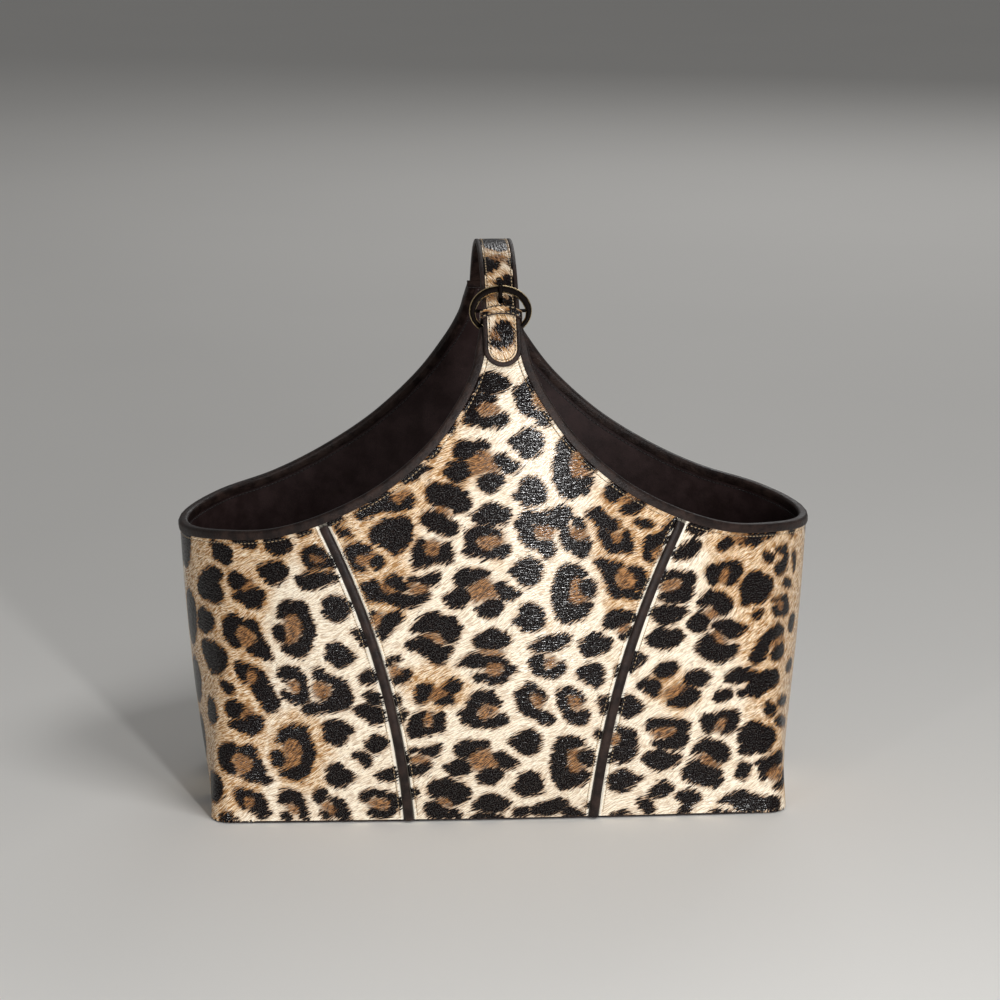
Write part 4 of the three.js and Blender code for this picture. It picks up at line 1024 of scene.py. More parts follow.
def outline_distance(at, corners):
    """Distance to a closed outline in millimetres, less than zero inside it."""
    nearest = np.full(len(at), np.inf)
    inside = np.zeros(len(at), bool)
    for start, end in zip(corners, np.roll(corners, -1, axis=0)):
        step, way = end - start, at - start
        share = np.clip((way @ step) / max(step @ step, 1e-9), 0, 1)
        nearest = np.minimum(nearest, np.hypot(*(way - share[:, None] * step).T))
        beside_edge = (way[:, 1] * step[0] - way[:, 0] * step[1] > 0) == (step[1] > 0)
        inside ^= ((start[1] > at[:, 1]) != (end[1] > at[:, 1])) & beside_edge
    return np.where(inside, -nearest, nearest)


def print_distance(at, outlines):
    """Distance from every point to the nearest of the outlines, up to the print's reach."""
    nearest = np.full(len(at), float(PRINT_REACH))
    for outline in outlines:
        corners = rounded(outline)
        low, high = corners.min(axis=0) - PRINT_REACH, corners.max(axis=0) + PRINT_REACH
        close = np.flatnonzero(np.all((at > low) & (at < high), axis=1))
        if len(close):
            nearest[close] = np.minimum(nearest[close], outline_distance(at[close], corners))
    return nearest


def print_places(mesh):
    """Where each point lies on its piece's print map, in metres."""
    places = np.zeros((len(mesh.vertices), 2))
    loops = np.empty(len(mesh.loops), int)
    mesh.loops.foreach_get("vertex_index", loops)
    uv = np.empty(len(mesh.loops) * 2)
    mesh.uv_layers["Print"].data.foreach_get("uv", uv)
    places[loops] = uv.reshape(-1, 2)
    return places


def store(mesh, key, values):
    mesh.attributes.new(key, "FLOAT", "POINT").data.foreach_set("value", np.asarray(values, np.float32))


def paint_print(obj, spots, hearts, tan=()):
    """Stores how far each point of the piece's print map is from the spots, the hearts and the tan ground."""
    at = print_places(obj.data) / MM
    for key, outlines in (("spots", spots), ("hearts", hearts), ("tan", tan)):
        store(obj.data, key, print_distance(at, outlines))


def mark_fold_highlight(panel):
    """Marks the strip of a panel that is turned under beside the piping, which the print paints pale and
    clean as a highlight along the fold.
    """
    at = print_places(panel.data)
    across = np.abs(at[:, 0])
    across = np.minimum(across, 2 * quarter_length(at[:, 1]) - across)
    from_seam = distance_to(SEAM_FLAT, np.stack([across, at[:, 1]], -1)) - PANEL_SEAM_GAP
    store(panel.data, "folded", np.clip((FOLD_HIGHLIGHT_END - from_seam) / FOLD_HIGHLIGHT_FADE, 0, 1))


def moved(outlines, across, up=0, mirror=1):
    """Outlines carried over the wall, and turned left to right when mirror is -1."""
    return tuple(tuple(v * mirror + across if i % 2 == 0 else v + up for i, v in enumerate(outline))
                 for outline in outlines)


def right_of(outlines, edge):
    return tuple(outline for outline in outlines if min(outline[::2]) > edge)


# Materials


class Finish:
    """A material's node tree, built node by node."""

    def __init__(self, name):
        self.material = bpy.data.materials.new(name)
        self.material.use_nodes = True
        self.tree = self.material.node_tree
        self.shader = self.tree.nodes["Principled BSDF"]

    def node(self, kind, inputs=(), **settings):
        node = self.tree.nodes.new(kind)
        for key, value in settings.items():
            setattr(node, key, value)
        for key, value in dict(inputs).items():
            self.feed(node.inputs[key], value)
        return node

    def feed(self, socket, value):
        if isinstance(value, bpy.types.NodeSocket):
            self.tree.links.new(value, socket)
        else:
            socket.default_value = value

    def math(self, operation, first, second):
        return self.node("ShaderNodeMath", {0: first, 1: second}, operation=operation).outputs[0]

    def band(self, value, low, high, from_value=0.0, to_value=1.0):
        """Runs from one value to the other, smoothly, while the input goes from low to high."""
        inputs = {"Value": value, "From Min": low, "From Max": high, "To Min": from_value, "To Max": to_value}
        return self.node("ShaderNodeMapRange", inputs, interpolation_type="SMOOTHSTEP").outputs["Result"]

    def either_way(self, value, reach):
        """Noise made to swing about nothing, by up to half the reach."""
        return self.math("MULTIPLY", self.math("SUBTRACT", value, 0.5), reach)

    def mix(self, share, first, second):
        node = self.node("ShaderNodeMix", data_type="RGBA")
        for index, value in ((0, share), (6, first), (7, second)):
            self.feed(node.inputs[index], value)
        return node.outputs[2]

    def object_place(self):
        return self.node("ShaderNodeTexCoord").outputs["Object"]

    def print_place(self):
        return self.node("ShaderNodeUVMap", uv_map="Print").outputs["UV"]

    def attribute(self, name):
        return self.node("ShaderNodeAttribute", attribute_name=name).outputs["Fac"]

    def stretched(self, place, turn, size):
        """Places in which every pattern comes out turned by the angle and longer by the sizes."""
        inputs = {"Vector": place, "Rotation": (0, 0, turn), "Scale": size}
        return self.node("ShaderNodeMapping", inputs, vector_type="TEXTURE").outputs["Vector"]

    def swayed(self, place, size, reach):
        """Places pushed about by up to half the reach, in waves of the given size."""
        waves = self.node("ShaderNodeTexNoise", {"Vector": place, "Scale": 1 / size, "Detail": 1.0})
        inputs = {0: waves.outputs["Color"], 1: (reach, reach, 0), 2: place}
        return self.node("ShaderNodeVectorMath", inputs, operation="MULTIPLY_ADD").outputs[0]

    def noise(self, place, size, detail=2.0, roughness=0.5):
        """Noise whose spots are about the given size, in metres."""
        inputs = {"Vector": place, "Scale": 1 / size, "Detail": detail, "Roughness": roughness}
        return self.node("ShaderNodeTexNoise", inputs).outputs["Fac"]

    def cells(self, place, size, feature="DISTANCE_TO_EDGE"):
        inputs = {"Vector": place, "Scale": 1 / size}
        return self.node("ShaderNodeTexVoronoi", inputs, feature=feature).outputs["Distance"]

    def bump(self, height, distance, strength=1.0, under=None):
        inputs = {"Height": height, "Distance": distance, "Strength": strength}
        if under is not None:
            inputs["Normal"] = under
        return self.node("ShaderNodeBump", inputs).outputs["Normal"]

    def done(self, **inputs):
        for key, value in inputs.items():
            self.feed(self.shader.inputs[key.replace("_", " ")], value)
        return self.material


def rgb(colour):
    return (*colour, 1.0)


# Widths of the print's hairs and tufts, how far they fray the outlines in millimetres, and their run
HAIR = 0.85 * MM
FINE_HAIR = 0.55 * MM
TUFT = 2.4 * MM
HAIR_FRAY = 12.0
TUFT_FRAY = 5.0
HAIR_TURN = math.radians(30)
HAIR_LONG = (8, 1, 1)
HAIR_SWAY = (45 * MM, 16 * MM)
SPOT_GROWTH = 0.6
TAN_PATCH = 22 * MM
TAN_FRAY = 36.0

# Grains of the leathers
PRINT_GRAIN = 1.1 * MM
PRINT_GRAIN_LONG = (6, 1, 1)
POLISH_SPOT = 0.85 * MM
CREASE_TURN = math.radians(35)
CREASE_LONG = (4, 1, 1)
BOARD_FIBRE_TURN = 0.4
BOARD_FIBRE_LONG = (3, 1, 1)


def print_leather(colours):
    """Printed leather: cream ground with tan hairs, hairy near-black spots and brown hearts under a gloss."""
    f = Finish("Print Leather")
    place = f.print_place()
    along_hair = f.stretched(f.swayed(place, *HAIR_SWAY), HAIR_TURN, HAIR_LONG)
    hair = f.noise(along_hair, HAIR, 2.0, 0.55)
    fine_hair = f.noise(along_hair, FINE_HAIR, 2.0, 0.6)
    tufts = f.noise(along_hair, TUFT, 2.0, 0.5)
    ragged = f.math("ADD", f.either_way(hair, HAIR_FRAY), f.either_way(tufts, TUFT_FRAY))
    spots = f.math("ADD", f.math("SUBTRACT", f.attribute("spots"), SPOT_GROWTH), ragged)
    hearts = f.math("ADD", f.attribute("hearts"), ragged)
    patches = f.either_way(f.noise(place, TAN_PATCH, 3.0, 0.5), TAN_FRAY)
    tan = f.band(f.math("ADD", f.math("ADD", f.attribute("tan"), patches), ragged), -2, 13, 1, 0)
    ground = f.mix(f.math("MULTIPLY", tan, 0.75), rgb(colours.cream), rgb(colours.tan))
    ground = f.mix(f.band(fine_hair, 0.52, 0.60, 0.0, 0.7), ground, rgb(colours.pale_hair_and_highlight))
    ground = f.mix(f.math("MULTIPLY", f.band(hair, 0.50, 0.56), f.band(tan, 0.0, 1.0, 0.5, 1.0)),
                   ground, rgb(colours.tan_hair))
    dark_hair = f.math("MULTIPLY", f.band(fine_hair, 0.36, 0.44, 1.0, 0.0), f.band(tan, 0.0, 1.0, 0.4, 0.85))
    ground = f.mix(dark_hair, ground, rgb(colours.halo))
    ground = f.mix(f.band(spots, 0.1, 1.6, 0.7, 0.0), ground, rgb(colours.halo))
    # Painted highlight: whitens the turned edge beside the piping, where the fold catches the light
    ground = f.mix(f.math("MULTIPLY", f.attribute("folded"), 0.85), ground, rgb(colours.pale_hair_and_highlight))
    brown = f.mix(f.band(fine_hair, 0.41, 0.54), rgb(colours.heart), rgb(colours.heart_hair))
    ink = f.mix(f.band(fine_hair, 0.56, 0.72, 0.0, 0.5), rgb(colours.ink), rgb(colours.ink_hair))
    colour = f.mix(f.band(hearts, 0.0, 4.0, 0.8, 0.0), ground, brown)
    colour = f.mix(f.band(spots, -0.35, 0.3, 1.0, 0.0), colour, ink)
    colour = f.mix(f.band(hearts, -1.8, 1.0, 0.85, 0.0), colour, brown)
    grain = f.noise(f.stretched(place, 0, PRINT_GRAIN_LONG), PRINT_GRAIN, 1.0, 0.5)
    skin = f.bump(grain, 0.6 * MM, 1.0)
    skin = f.bump(f.noise(place, 3.5 * MM, 3.0, 0.6), 0.35 * MM, 0.35, skin)
    gloss = f.band(f.noise(place, 9 * MM, 3.0, 0.6), 0.25, 0.75, 0.17, 0.25)
    polish = f.band(f.noise(place, POLISH_SPOT, 2.0, 0.6), 0.50, 0.60, 0.03, 0.95)
    return f.done(Base_Color=colour, Roughness=gloss, Normal=skin, Specular_IOR_Level=polish)


def brown_leather(colours):
    """Dark brown trim leather with a fine grain, slightly paler worn places and painted shade at the bottom
    of the grain.
    """
    f = Finish("Brown Leather")
    place = f.object_place()
    grain = f.cells(place, 0.8 * MM)
    creases = f.noise(f.stretched(place, CREASE_TURN, CREASE_LONG), 1.3 * MM, 3.0, 0.6)
    wear = f.noise(place, 9 * MM, 3.0, 0.6)
    base = f.mix(f.band(wear, 0.35, 0.7), rgb(colours.leather), rgb(colours.leather_worn))
    # Painted shade: darkens the edges of the grain's cells, the bottom of the grain
    base = f.mix(f.band(grain, 0.0, 0.12, 0.45, 0.0), base, rgb(colours.crease_shade_and_lining_thread))
    skin = f.bump(f.math("MINIMUM", grain, 0.15), 0.35 * MM, 0.5)
    skin = f.bump(creases, 0.5 * MM, 0.8, skin)
    gloss = f.band(wear, 0.3, 0.7, 0.36, 0.52)
    return f.done(Base_Color=base, Roughness=gloss, Normal=skin, Specular_IOR_Level=0.24)


def lining_leather(colours):
    """Brown lining, duller than the trim, with a pressed grain whose bottom is darkened by painted shade."""
    f = Finish("Lining")
    place = f.object_place()
    grain = f.cells(place, 1.1 * MM)
    tone = f.noise(place, 14 * MM, 3.0, 0.6)
    base = f.mix(f.band(tone, 0.35, 0.7), rgb(colours.lining), rgb(colours.lining_pale))
    # Painted shade: darkens the edges of the grain's cells, the bottom of the grain
    base = f.mix(f.band(grain, 0.0, 0.12, 0.4, 0.0), base, rgb(colours.crease_shade_and_lining_thread))
    skin = f.bump(f.math("MINIMUM", grain, 0.15), 0.35 * MM, 0.5)
    skin = f.bump(f.noise(place, 3 * MM, 4.0, 0.6), 0.3 * MM, 0.4, skin)
    gloss = f.band(tone, 0.3, 0.7, 0.5, 0.64)
    return f.done(Base_Color=base, Roughness=gloss, Normal=skin, Specular_IOR_Level=0.3)


def thread(colours):
    """Waxed brown thread with its twist."""
    return twisted("Thread", colours.thread, colours.thread_dark)


def lining_thread(colours):
    return twisted("Lining Thread", colours.crease_shade_and_lining_thread, colours.leather)


def twisted(name, light, shade):
    f = Finish(name)
    strands = f.noise(f.object_place(), 0.35 * MM, 2.0, 0.5)
    base = f.mix(f.band(strands, 0.35, 0.65), rgb(light), rgb(shade))
    return f.done(Base_Color=base, Roughness=0.6, Normal=f.bump(strands, 0.12 * MM, 0.5), Sheen_Weight=0.2)


def needle_hole_shadow(colours):
    """Shadow in the punched holes between stitches."""
    f = Finish("Needle Hole")
    tone = f.noise(f.object_place(), 0.6 * MM, 2.0, 0.5)
    base = f.mix(tone, rgb(colours.ink), rgb(colours.crease_shade_and_lining_thread))
    return f.done(Base_Color=base, Roughness=0.85)


def aged_brass(colours):
    """Brass under a dark bronze finish that is rubbed through along its edges; the brass edges also stand in
    for reflections on the frame's bevels, as painted reflection.
    """
    f = Finish("Aged Brass")
    place = f.object_place()
    rub = f.noise(place, 1.6 * MM, 4.0, 0.65)
    worn = f.attribute("rubbed")
    bare = f.band(f.math("ADD", worn, f.either_way(rub, 0.9)), 0.35, 0.65)
    base = f.mix(bare, rgb(colours.bronze), rgb(colours.brass))
    gloss = f.math("ADD", f.band(bare, 0.0, 1.0, 0.42, 0.24), f.math("MULTIPLY", rub, 0.12))
    return f.done(Base_Color=base, Metallic=1.0, Roughness=gloss, Normal=f.bump(rub, 0.08 * MM, 0.35))


def grey_board(colours):
    """Pressed grey board with fibres."""
    f = Finish("Grey Board")
    place = f.object_place()
    fibres = f.noise(f.stretched(place, BOARD_FIBRE_TURN, BOARD_FIBRE_LONG), 0.7 * MM, 3.0, 0.6)
    base = f.mix(f.band(fibres, 0.3, 0.7), rgb(colours.board), rgb(colours.board_fibre))
    return f.done(Base_Color=base, Roughness=0.9, Normal=f.bump(fibres, 0.1 * MM, 0.5))


# Sizes and colours that a user would change


def srgb(code):
    """A colour written as on a paint card, as the linear values that shaders take."""
    values = [int(code[i:i + 2], 16) / 255 for i in (0, 2, 4)]
    return tuple(v / 12.92 if v <= 0.04045 else ((v + 0.055) / 1.055) ** 2.4 for v in values)


def colour(name, description, code):
    return bpy.props.FloatVectorProperty(
        name=name, description=description, default=srgb(code), subtype="COLOR", size=3, min=0, max=1)


def length(name, description, default):
    return bpy.props.FloatProperty(name=name, description=description, default=default, unit="LENGTH", min=0)


def power(name, description, default):
    return bpy.props.FloatProperty(name=name, description=description, default=default, min=0)


class BasketSizes(bpy.types.PropertyGroup):
    """Finenesses and sewing sizes of the basket's new pieces."""

    panel_step: length("Panel Step", "Spacing of the points of the printed panels", 1.6 * MM)
    lining_step: length("Lining Step", "Spacing of the points of the lining", 4 * MM)
    trim_step: length("Trim Step", "Spacing of the points along piping and binding", 2.2 * MM)
    stitch_pitch: length("Stitch Pitch", "Distance from one stitch to the next", 3 * MM)
    stitch_length: length("Stitch Length", "Visible length of a stitch", 2.1 * MM)
    stitch_width: length("Stitch Width", "Width of the thread", 0.9 * MM)
    stitch_height: length("Stitch Height", "How far the thread stands off the leather", 0.3 * MM)


class BasketColours(bpy.types.PropertyGroup):
    """Colours of the leathers, thread, metal and board."""

    cream: colour("Cream", "Palest ground of the print", "FCEFD8")
    tan: colour("Tan", "Darker ground of the print", "D9B07C")
    # Also the colour of the painted highlight on the turned edges beside the piping
    pale_hair_and_highlight: colour("Pale Hair And Highlight", "Fine pale hairs in the ground", "FFF8E8")
    tan_hair: colour("Tan Hair", "Tan hairs in the ground", "A67A4A")
    halo: colour("Halo", "Browner ground round the spots", "80552F")
    heart: colour("Heart", "Brown centres of the rosettes", "B4804F")
    heart_hair: colour("Heart Hair", "Darker hairs in the brown centres", "3E2617")
    ink: colour("Ink", "Near-black spots", "0E0909")
    ink_hair: colour("Ink Hair", "Brown hairs in the spots", "33221B")
    leather: colour("Leather", "Dark brown trim leather", "1B1210")
    leather_worn: colour("Worn Leather", "Paler places of the trim leather", "352722")
    # Painted shade at the bottom of the leathers' grain; also the lining thread's own colour and part of the
    # needle holes' painted shadow
    crease_shade_and_lining_thread: colour("Crease Shade And Lining Thread", "Bottom of the grain of the brown leathers", "0A0706")
    lining: colour("Lining", "Lining leather", "2A1C1B")
    lining_pale: colour("Pale Lining", "Paler places of the lining", "382827")
    thread: colour("Thread", "Sewing thread", "C2A880")
    thread_dark: colour("Thread Shade", "Shaded twist of the thread", "6A5238")
    bronze: colour("Bronze", "Dark finish of the buckle", "0E0B0A")
    # Brass of the rubbed edges, brightened also as painted reflection along the frame's bevels
    brass: colour("Brass", "Brass where the finish is rubbed through", "E6CB98")
    board: colour("Board", "Grey board inside the walls", "8C857A")
    board_fibre: colour("Board Fibre", "Fibres of the board", "6E675D")


class BasketStage(bpy.types.PropertyGroup):
    """Floor and lamps."""

    floor: colour("Floor", "Pale floor under the basket", "E9E7E3")
    key_power: power("Key", "Power of the low strip in front, to the right", 15.5)
    fill_power: power("Side", "Power of the low strip in front, to the left", 3)
    top_power: power("Above", "Power of the wide lamp above the front", 16)
    rim_power: power("Behind", "Power of the lamp behind", 18)
    daylight: power("Daylight", "Strength of the world's light", 0.17)


FINISHES = {}


def finish(name):
    """The basket's materials, each made once."""
    if name not in FINISHES:
        FINISHES[name] = MAKERS[name](bpy.context.scene.basket_colours)
    return FINISHES[name]


MAKERS = {
    "print": print_leather,
    "brown": brown_leather,
    "lining": lining_leather,
    "thread": thread,
    "lining_thread": lining_thread,
    "hole": needle_hole_shadow,
    "brass": aged_brass,
    "board": grey_board,
}


class BasketOperator:
    bl_options = {"REGISTER", "UNDO"}

    @property
    def sizes(self):
        return bpy.context.scene.basket_sizes


# Printed panels

BAND_BELOW = (1, -121)
BAND_ABOVE = (0, 85)
UPPER_BAND_FROM = -45
MIDDLE_PRINT = (
    MIDDLE_SPOTS + BAND_SPOTS + LONE_SPOT + moved(BAND_SPOTS + LONE_SPOT, *BAND_BELOW)
    + moved(right_of(BAND_SPOTS + LONE_SPOT, UPPER_BAND_FROM), *BAND_ABOVE)
    + moved(LONE_SPOT, 0, 2 * BAND_ABOVE[1])
)
MIDDLE_HEART_PRINT = (
    MIDDLE_HEARTS + BAND_HEARTS + moved(BAND_HEARTS, *BAND_BELOW)
    + moved(right_of(BAND_HEARTS, UPPER_BAND_FROM), *BAND_ABOVE)
)
MIDDLES = (MIDDLE_PRINT, MIDDLE_HEART_PRINT, MIDDLE_TAN)
LEFT_BAND_ABOVE = (0, 86.5)
RIGHT_BAND_ABOVE = (3, 103)
FRONT_PRINT_END = 229
REAR_PRINT_MOVE = 347
ROUND_THE_END = 552
REAR_FILL_FROM = 424
REAR_FILL_TOP = 172


def with_band(own, band, above):
    """An end panel's own outlines, its band and the band once more above."""
    return own + band + moved(band, *above)


def round_the_end(front, middle, hand):
    """An end panel's print: its front half as drawn, then the middle's, then the front's at the back."""
    outward = front if hand > 0 else moved(front, 0, 0, -1)
    turned_back = moved(outward, ROUND_THE_END, 0, -1)
    by_rear_seam = tuple(outline for outline in turned_back if max(outline[1::2]) < REAR_FILL_TOP)
    rear = right_of(moved(middle, REAR_PRINT_MOVE), FRONT_PRINT_END) + right_of(by_rear_seam, REAR_FILL_FROM)
    return front + (rear if hand > 0 else moved(rear, 0, 0, -1))


class BASKET_OT_panels(BasketOperator, bpy.types.Operator):
    """Makes the four printed outer panels with their turned and stitched edges"""

    bl_idname = "basket.panels"
    bl_label = "Printed Panels"

    def execute(self, context):
        step = self.sizes.panel_step
        for name, side in (("front", 1), ("back", -1)):
            share, hand, height = middle_grid(PANEL_FOOT, PANEL_SEAM_GAP, step, NEAR_EDGE)
            flat = unrolled(share, height)
            out = turned_edges(flat)
            uv = np.stack([flat[..., 0] * hand * side, flat[..., 1]], -1)
            panel = wall_sheet(f"{name}_leather", share, height, hand, side, out, PANEL, uv)
            paint_print(panel, *MIDDLES)
            mark_fold_highlight(panel)
            dress(panel, "basket", "print_leather", finish("print"), f"{name}_panel")
        left = (with_band(LEFT_END_SPOTS, LEFT_BAND_SPOTS, LEFT_BAND_ABOVE),
                with_band(LEFT_END_HEARTS, LEFT_BAND_HEARTS, LEFT_BAND_ABOVE), LEFT_END_TAN)
        right = (with_band(RIGHT_END_SPOTS, RIGHT_BAND_SPOTS, RIGHT_BAND_ABOVE),
                 with_band(RIGHT_END_HEARTS, RIGHT_BAND_HEARTS, RIGHT_BAND_ABOVE), RIGHT_END_TAN)
        for name, hand, fronts in (("left", -1, left), ("right", 1, right)):
            share, side, height = end_grid(PANEL_FOOT, PANEL_SEAM_GAP, step, NEAR_EDGE, NEAR_RIM)
            flat = unrolled(share, height)
            out = turned_edges(flat)
            round_end = np.where(side > 0, flat[..., 0], 2 * quarter_length(height) - flat[..., 0])
            uv = np.stack([hand * round_end, flat[..., 1]], -1)
            panel = wall_sheet(f"{name}_end_leather", share, height, hand, side, out, PANEL, uv)
            whole = [round_the_end(own, middle, hand) for own, middle in zip(fronts, MIDDLES)]
            paint_print(panel, *whole)
            mark_fold_highlight(panel)
            dress(panel, "basket", "print_leather", finish("print"), f"{name}_end_panel")
        return {"FINISHED"}


# Lining, base and boards


class BASKET_OT_linings(BasketOperator, bpy.types.Operator):
    """Makes the four wall linings"""

    bl_idname = "basket.linings"
    bl_label = "Wall Linings"

    def execute(self, context):
        step = self.sizes.lining_step
        edge = (0, 1 * MM, 3 * MM)
        for name, side in (("front", 1), ("back", -1)):
            share, hand, height = middle_grid(LINING_FOOT, BUTT_GAP, step, edge)
            piece = wall_sheet(f"{name}_inner_lining", share, height, hand, side, -LINING_NEAR, LINING)
            dress(piece, "basket", "lining", finish("lining"), f"{name}_lining")
        for name, hand in (("left", -1), ("right", 1)):
            share, side, height = end_grid(LINING_FOOT, BUTT_GAP, step, edge, edge)
            piece = wall_sheet(f"{name}_end_inner_lining", share, height, hand, side, -LINING_NEAR, LINING)
            dress(piece, "basket", "lining", finish("lining"), f"{name}_end_lining")
        return {"FINISHED"}


def foot_loop(steps):
    """Shares, hands and sides once round the foot of the wall."""
    corner = (BASE_LENGTH / 2 - BASE_CORNER) / BASE_LINE.total
    past = corner + BASE_CORNER * math.pi / 2 / BASE_LINE.total
    share = np.unique(np.concatenate([
        np.linspace(0, corner, steps), np.linspace(corner, past, 12), np.linspace(past, 1, steps // 2)]))
    loop = [(s, 1, 1) for s in share] + [(s, 1, -1) for s in share[-2::-1]]
    loop += [(s, -1, -1) for s in share[1:]] + [(s, -1, 1) for s in share[-2:0:-1]]
    return np.array(loop).T


def foot_plate(name, profile):
    """A plate inside the foot of the wall, with the given edge: inset and level of every row."""
    share, hand, side = foot_loop(24)
    share, hand, side = (np.append(v, v[0]) for v in (share, hand, side))
    rows = []
    for inset, level in profile:
        point = wall_point(share, level, np.full(share.shape, -inset), hand, side)
        rows.append(point * (1, 1, 0) + (0, 0, level))
    return smooth(close_grid(lay_grid(name, np.array(rows))), 35)


def plate_edge(inset, low, high, round_over):
    """Inset and level round the edge of a plate, from its underside to its top."""
    turn = np.linspace(-math.pi / 2, math.pi / 2, 9)
    middle, half = (low + high) / 2, (high - low) / 2
    edge = [(inset + round_over * (1 - math.cos(t)), middle + half * math.sin(t)) for t in turn]
    return [(inset + 6 * MM, low)] + edge + [(inset + 6 * MM, high)]


class BASKET_OT_base(BasketOperator, bpy.types.Operator):
    """Makes the cover under the base and the lining on its floor"""

    bl_idname = "basket.base"
    bl_label = "Base"

    def execute(self, context):
        cover = foot_plate("base_under_cover", plate_edge(BASE_COVER_INSET, 0, BASE_COVER, 0.5 * MM))
        dress(cover, "basket", "brown_leather", finish("brown"), "base_cover")
        top = FLOOR_LINING_LEVEL + LINING
        edge = plate_edge(FLOOR_LINING_INSET, FLOOR_LINING_LEVEL, top, 0.4 * MM)
        floor = foot_plate("base_floor_lining", edge)
        dress(floor, "basket", "lining", finish("lining"), "base_lining")
        return {"FINISHED"}


class BASKET_OT_boards(BasketOperator, bpy.types.Operator):
    """Gives the solid model's boards and stiffener their grey board"""

    bl_idname = "basket.boards"
    bl_label = "Boards"

    def execute(self, context):
        names = ("front_board", "back_board", "left_end_board", "right_end_board", "base_board", "strap_core")
        for name in names:
            node = bpy.data.objects[name]
            node.data.materials.clear()
            node.data.materials.append(finish("board"))
        return {"FINISHED"}


# Piping and binding


def seam_frames(step, start, stop):
    """Points, directions and normals up a piped seam, in the front right quarter."""
    count = int((stop - start) / step)
    height = np.linspace(start, stop, count + 1)
    share = seam_share(height / SEAM_HEAD_HEIGHT)
    point = wall_point(share, height, np.zeros_like(share), 1, 1)
    return point, quarter_normal(share, height)


def swept(point, normal, section, reach=None):
    """Rows of points of a section carried along a line on the wall; reach scales its height by row."""
    ahead = unit(np.gradient(point, axis=0))
    across = unit(np.cross(ahead, normal))
    out = np.cross(across, ahead)
    section = np.asarray(section)
    section = np.vstack([section, section[:1]])
    reach = np.ones(len(point)) if reach is None else reach
    return (point[:, None] + across[:, None] * section[None, :, 0, None]
            + out[:, None] * (section[None, :, 1] * reach[:, None])[..., None])


def arc(centre, radius, start, end, steps):
    turn = np.radians(np.linspace(start, end, steps + 1))
    radius = np.broadcast_to(radius, 2)
    return [(centre[0] + radius[0] * math.cos(t), centre[1] + radius[1] * math.sin(t)) for t in turn]


def piping_section():
    half = PIPING_WIDTH / 2
    low = GAP - PANEL
    foot = [(half - 0.2 * MM, low), (half, 0.1 * MM)]
    crown = arc((0, 0.25 * MM), (half, PIPING_HEIGHT - 0.25 * MM), 6, 174, 14)
    return foot + crown + [(-half, 0.1 * MM), (0.2 * MM - half, low)]


class BASKET_OT_piping(BasketOperator, bpy.types.Operator):
    """Makes the four leather-covered welts in the seams"""

    bl_idname = "basket.piping"
    bl_label = "Piping"

    def execute(self, context):
        climb = SEAM_CLIMBS * SEAM_HEAD_HEIGHT
        clear = distance_to(RIM_FLAT, SEAM_FLAT) >= BINDING_FOOT + GAP
        stop = climb[clear].max()
        point, normal = seam_frames(self.sizes.trim_step, PANEL_FOOT, stop)
        down = np.arange(len(point))[::-1] * self.sizes.trim_step
        reach = 0.5 + 0.5 * np.clip(down / (3 * MM), 0, 1) ** 0.5
        rows = swept(point, normal, piping_section(), reach)
        for side_name, side in (("front", 1), ("back", -1)):
            for hand_name, hand in (("left", -1), ("right", 1)):
                name = f"{side_name}_{hand_name}"
                piece = close_grid(lay_grid(f"{name}_welt", mirrored(rows, hand, side)))
                smooth(piece, 50)
                dress(piece, "basket", "brown_leather", finish("brown"), f"{name}_piping")
        return {"FINISHED"}


def binding_section():
    """The fold over the rim: up along the wall and out, with a rounded back and rolled feet."""
    far, foot = GAP + BINDING, GAP - BINDING_HEIGHT
    inner, inner_far = -WALL - GAP, -WALL - GAP - BINDING
    roll = BINDING / 2
    back = 2.2 * MM
    outer_leg = arc((foot + roll, GAP + roll), roll, 270, 90, 6) + [((foot - back) / 2, far + 0.12 * MM)]
    crown = arc((far - back, far - back), back, 90, 0, 7)
    crown += arc((far - back, inner_far + back), back, 0, -90, 7)
    inner_leg = arc((foot + roll, inner - roll), roll, 270, 90, 6)
    return outer_leg + crown + inner_leg + [(GAP, inner), (GAP, GAP)]


def neck_fold():
    """The binding's end, turned across the back neck's top edge as far as the middle."""
    low, near, inner = GAP, GAP + BINDING, -WALL - GAP - BINDING
    middle, roll = (low + near) / 2, BINDING / 2
    section = arc((middle, inner + roll), roll, 360, 180, 8) + arc((middle, near - roll), roll, 180, 0, 8)
    across = np.linspace(NECK_WIDTH / 2 + near, 0, 13)
    share, height = across / RIM_PLAN.total, np.full(13, NECK_TOP)
    point = wall_point(share, height, np.zeros(13), 1, -1)
    return swept(point, wall_normal(share, height, 1, -1), [(-u, v) for u, v in section])


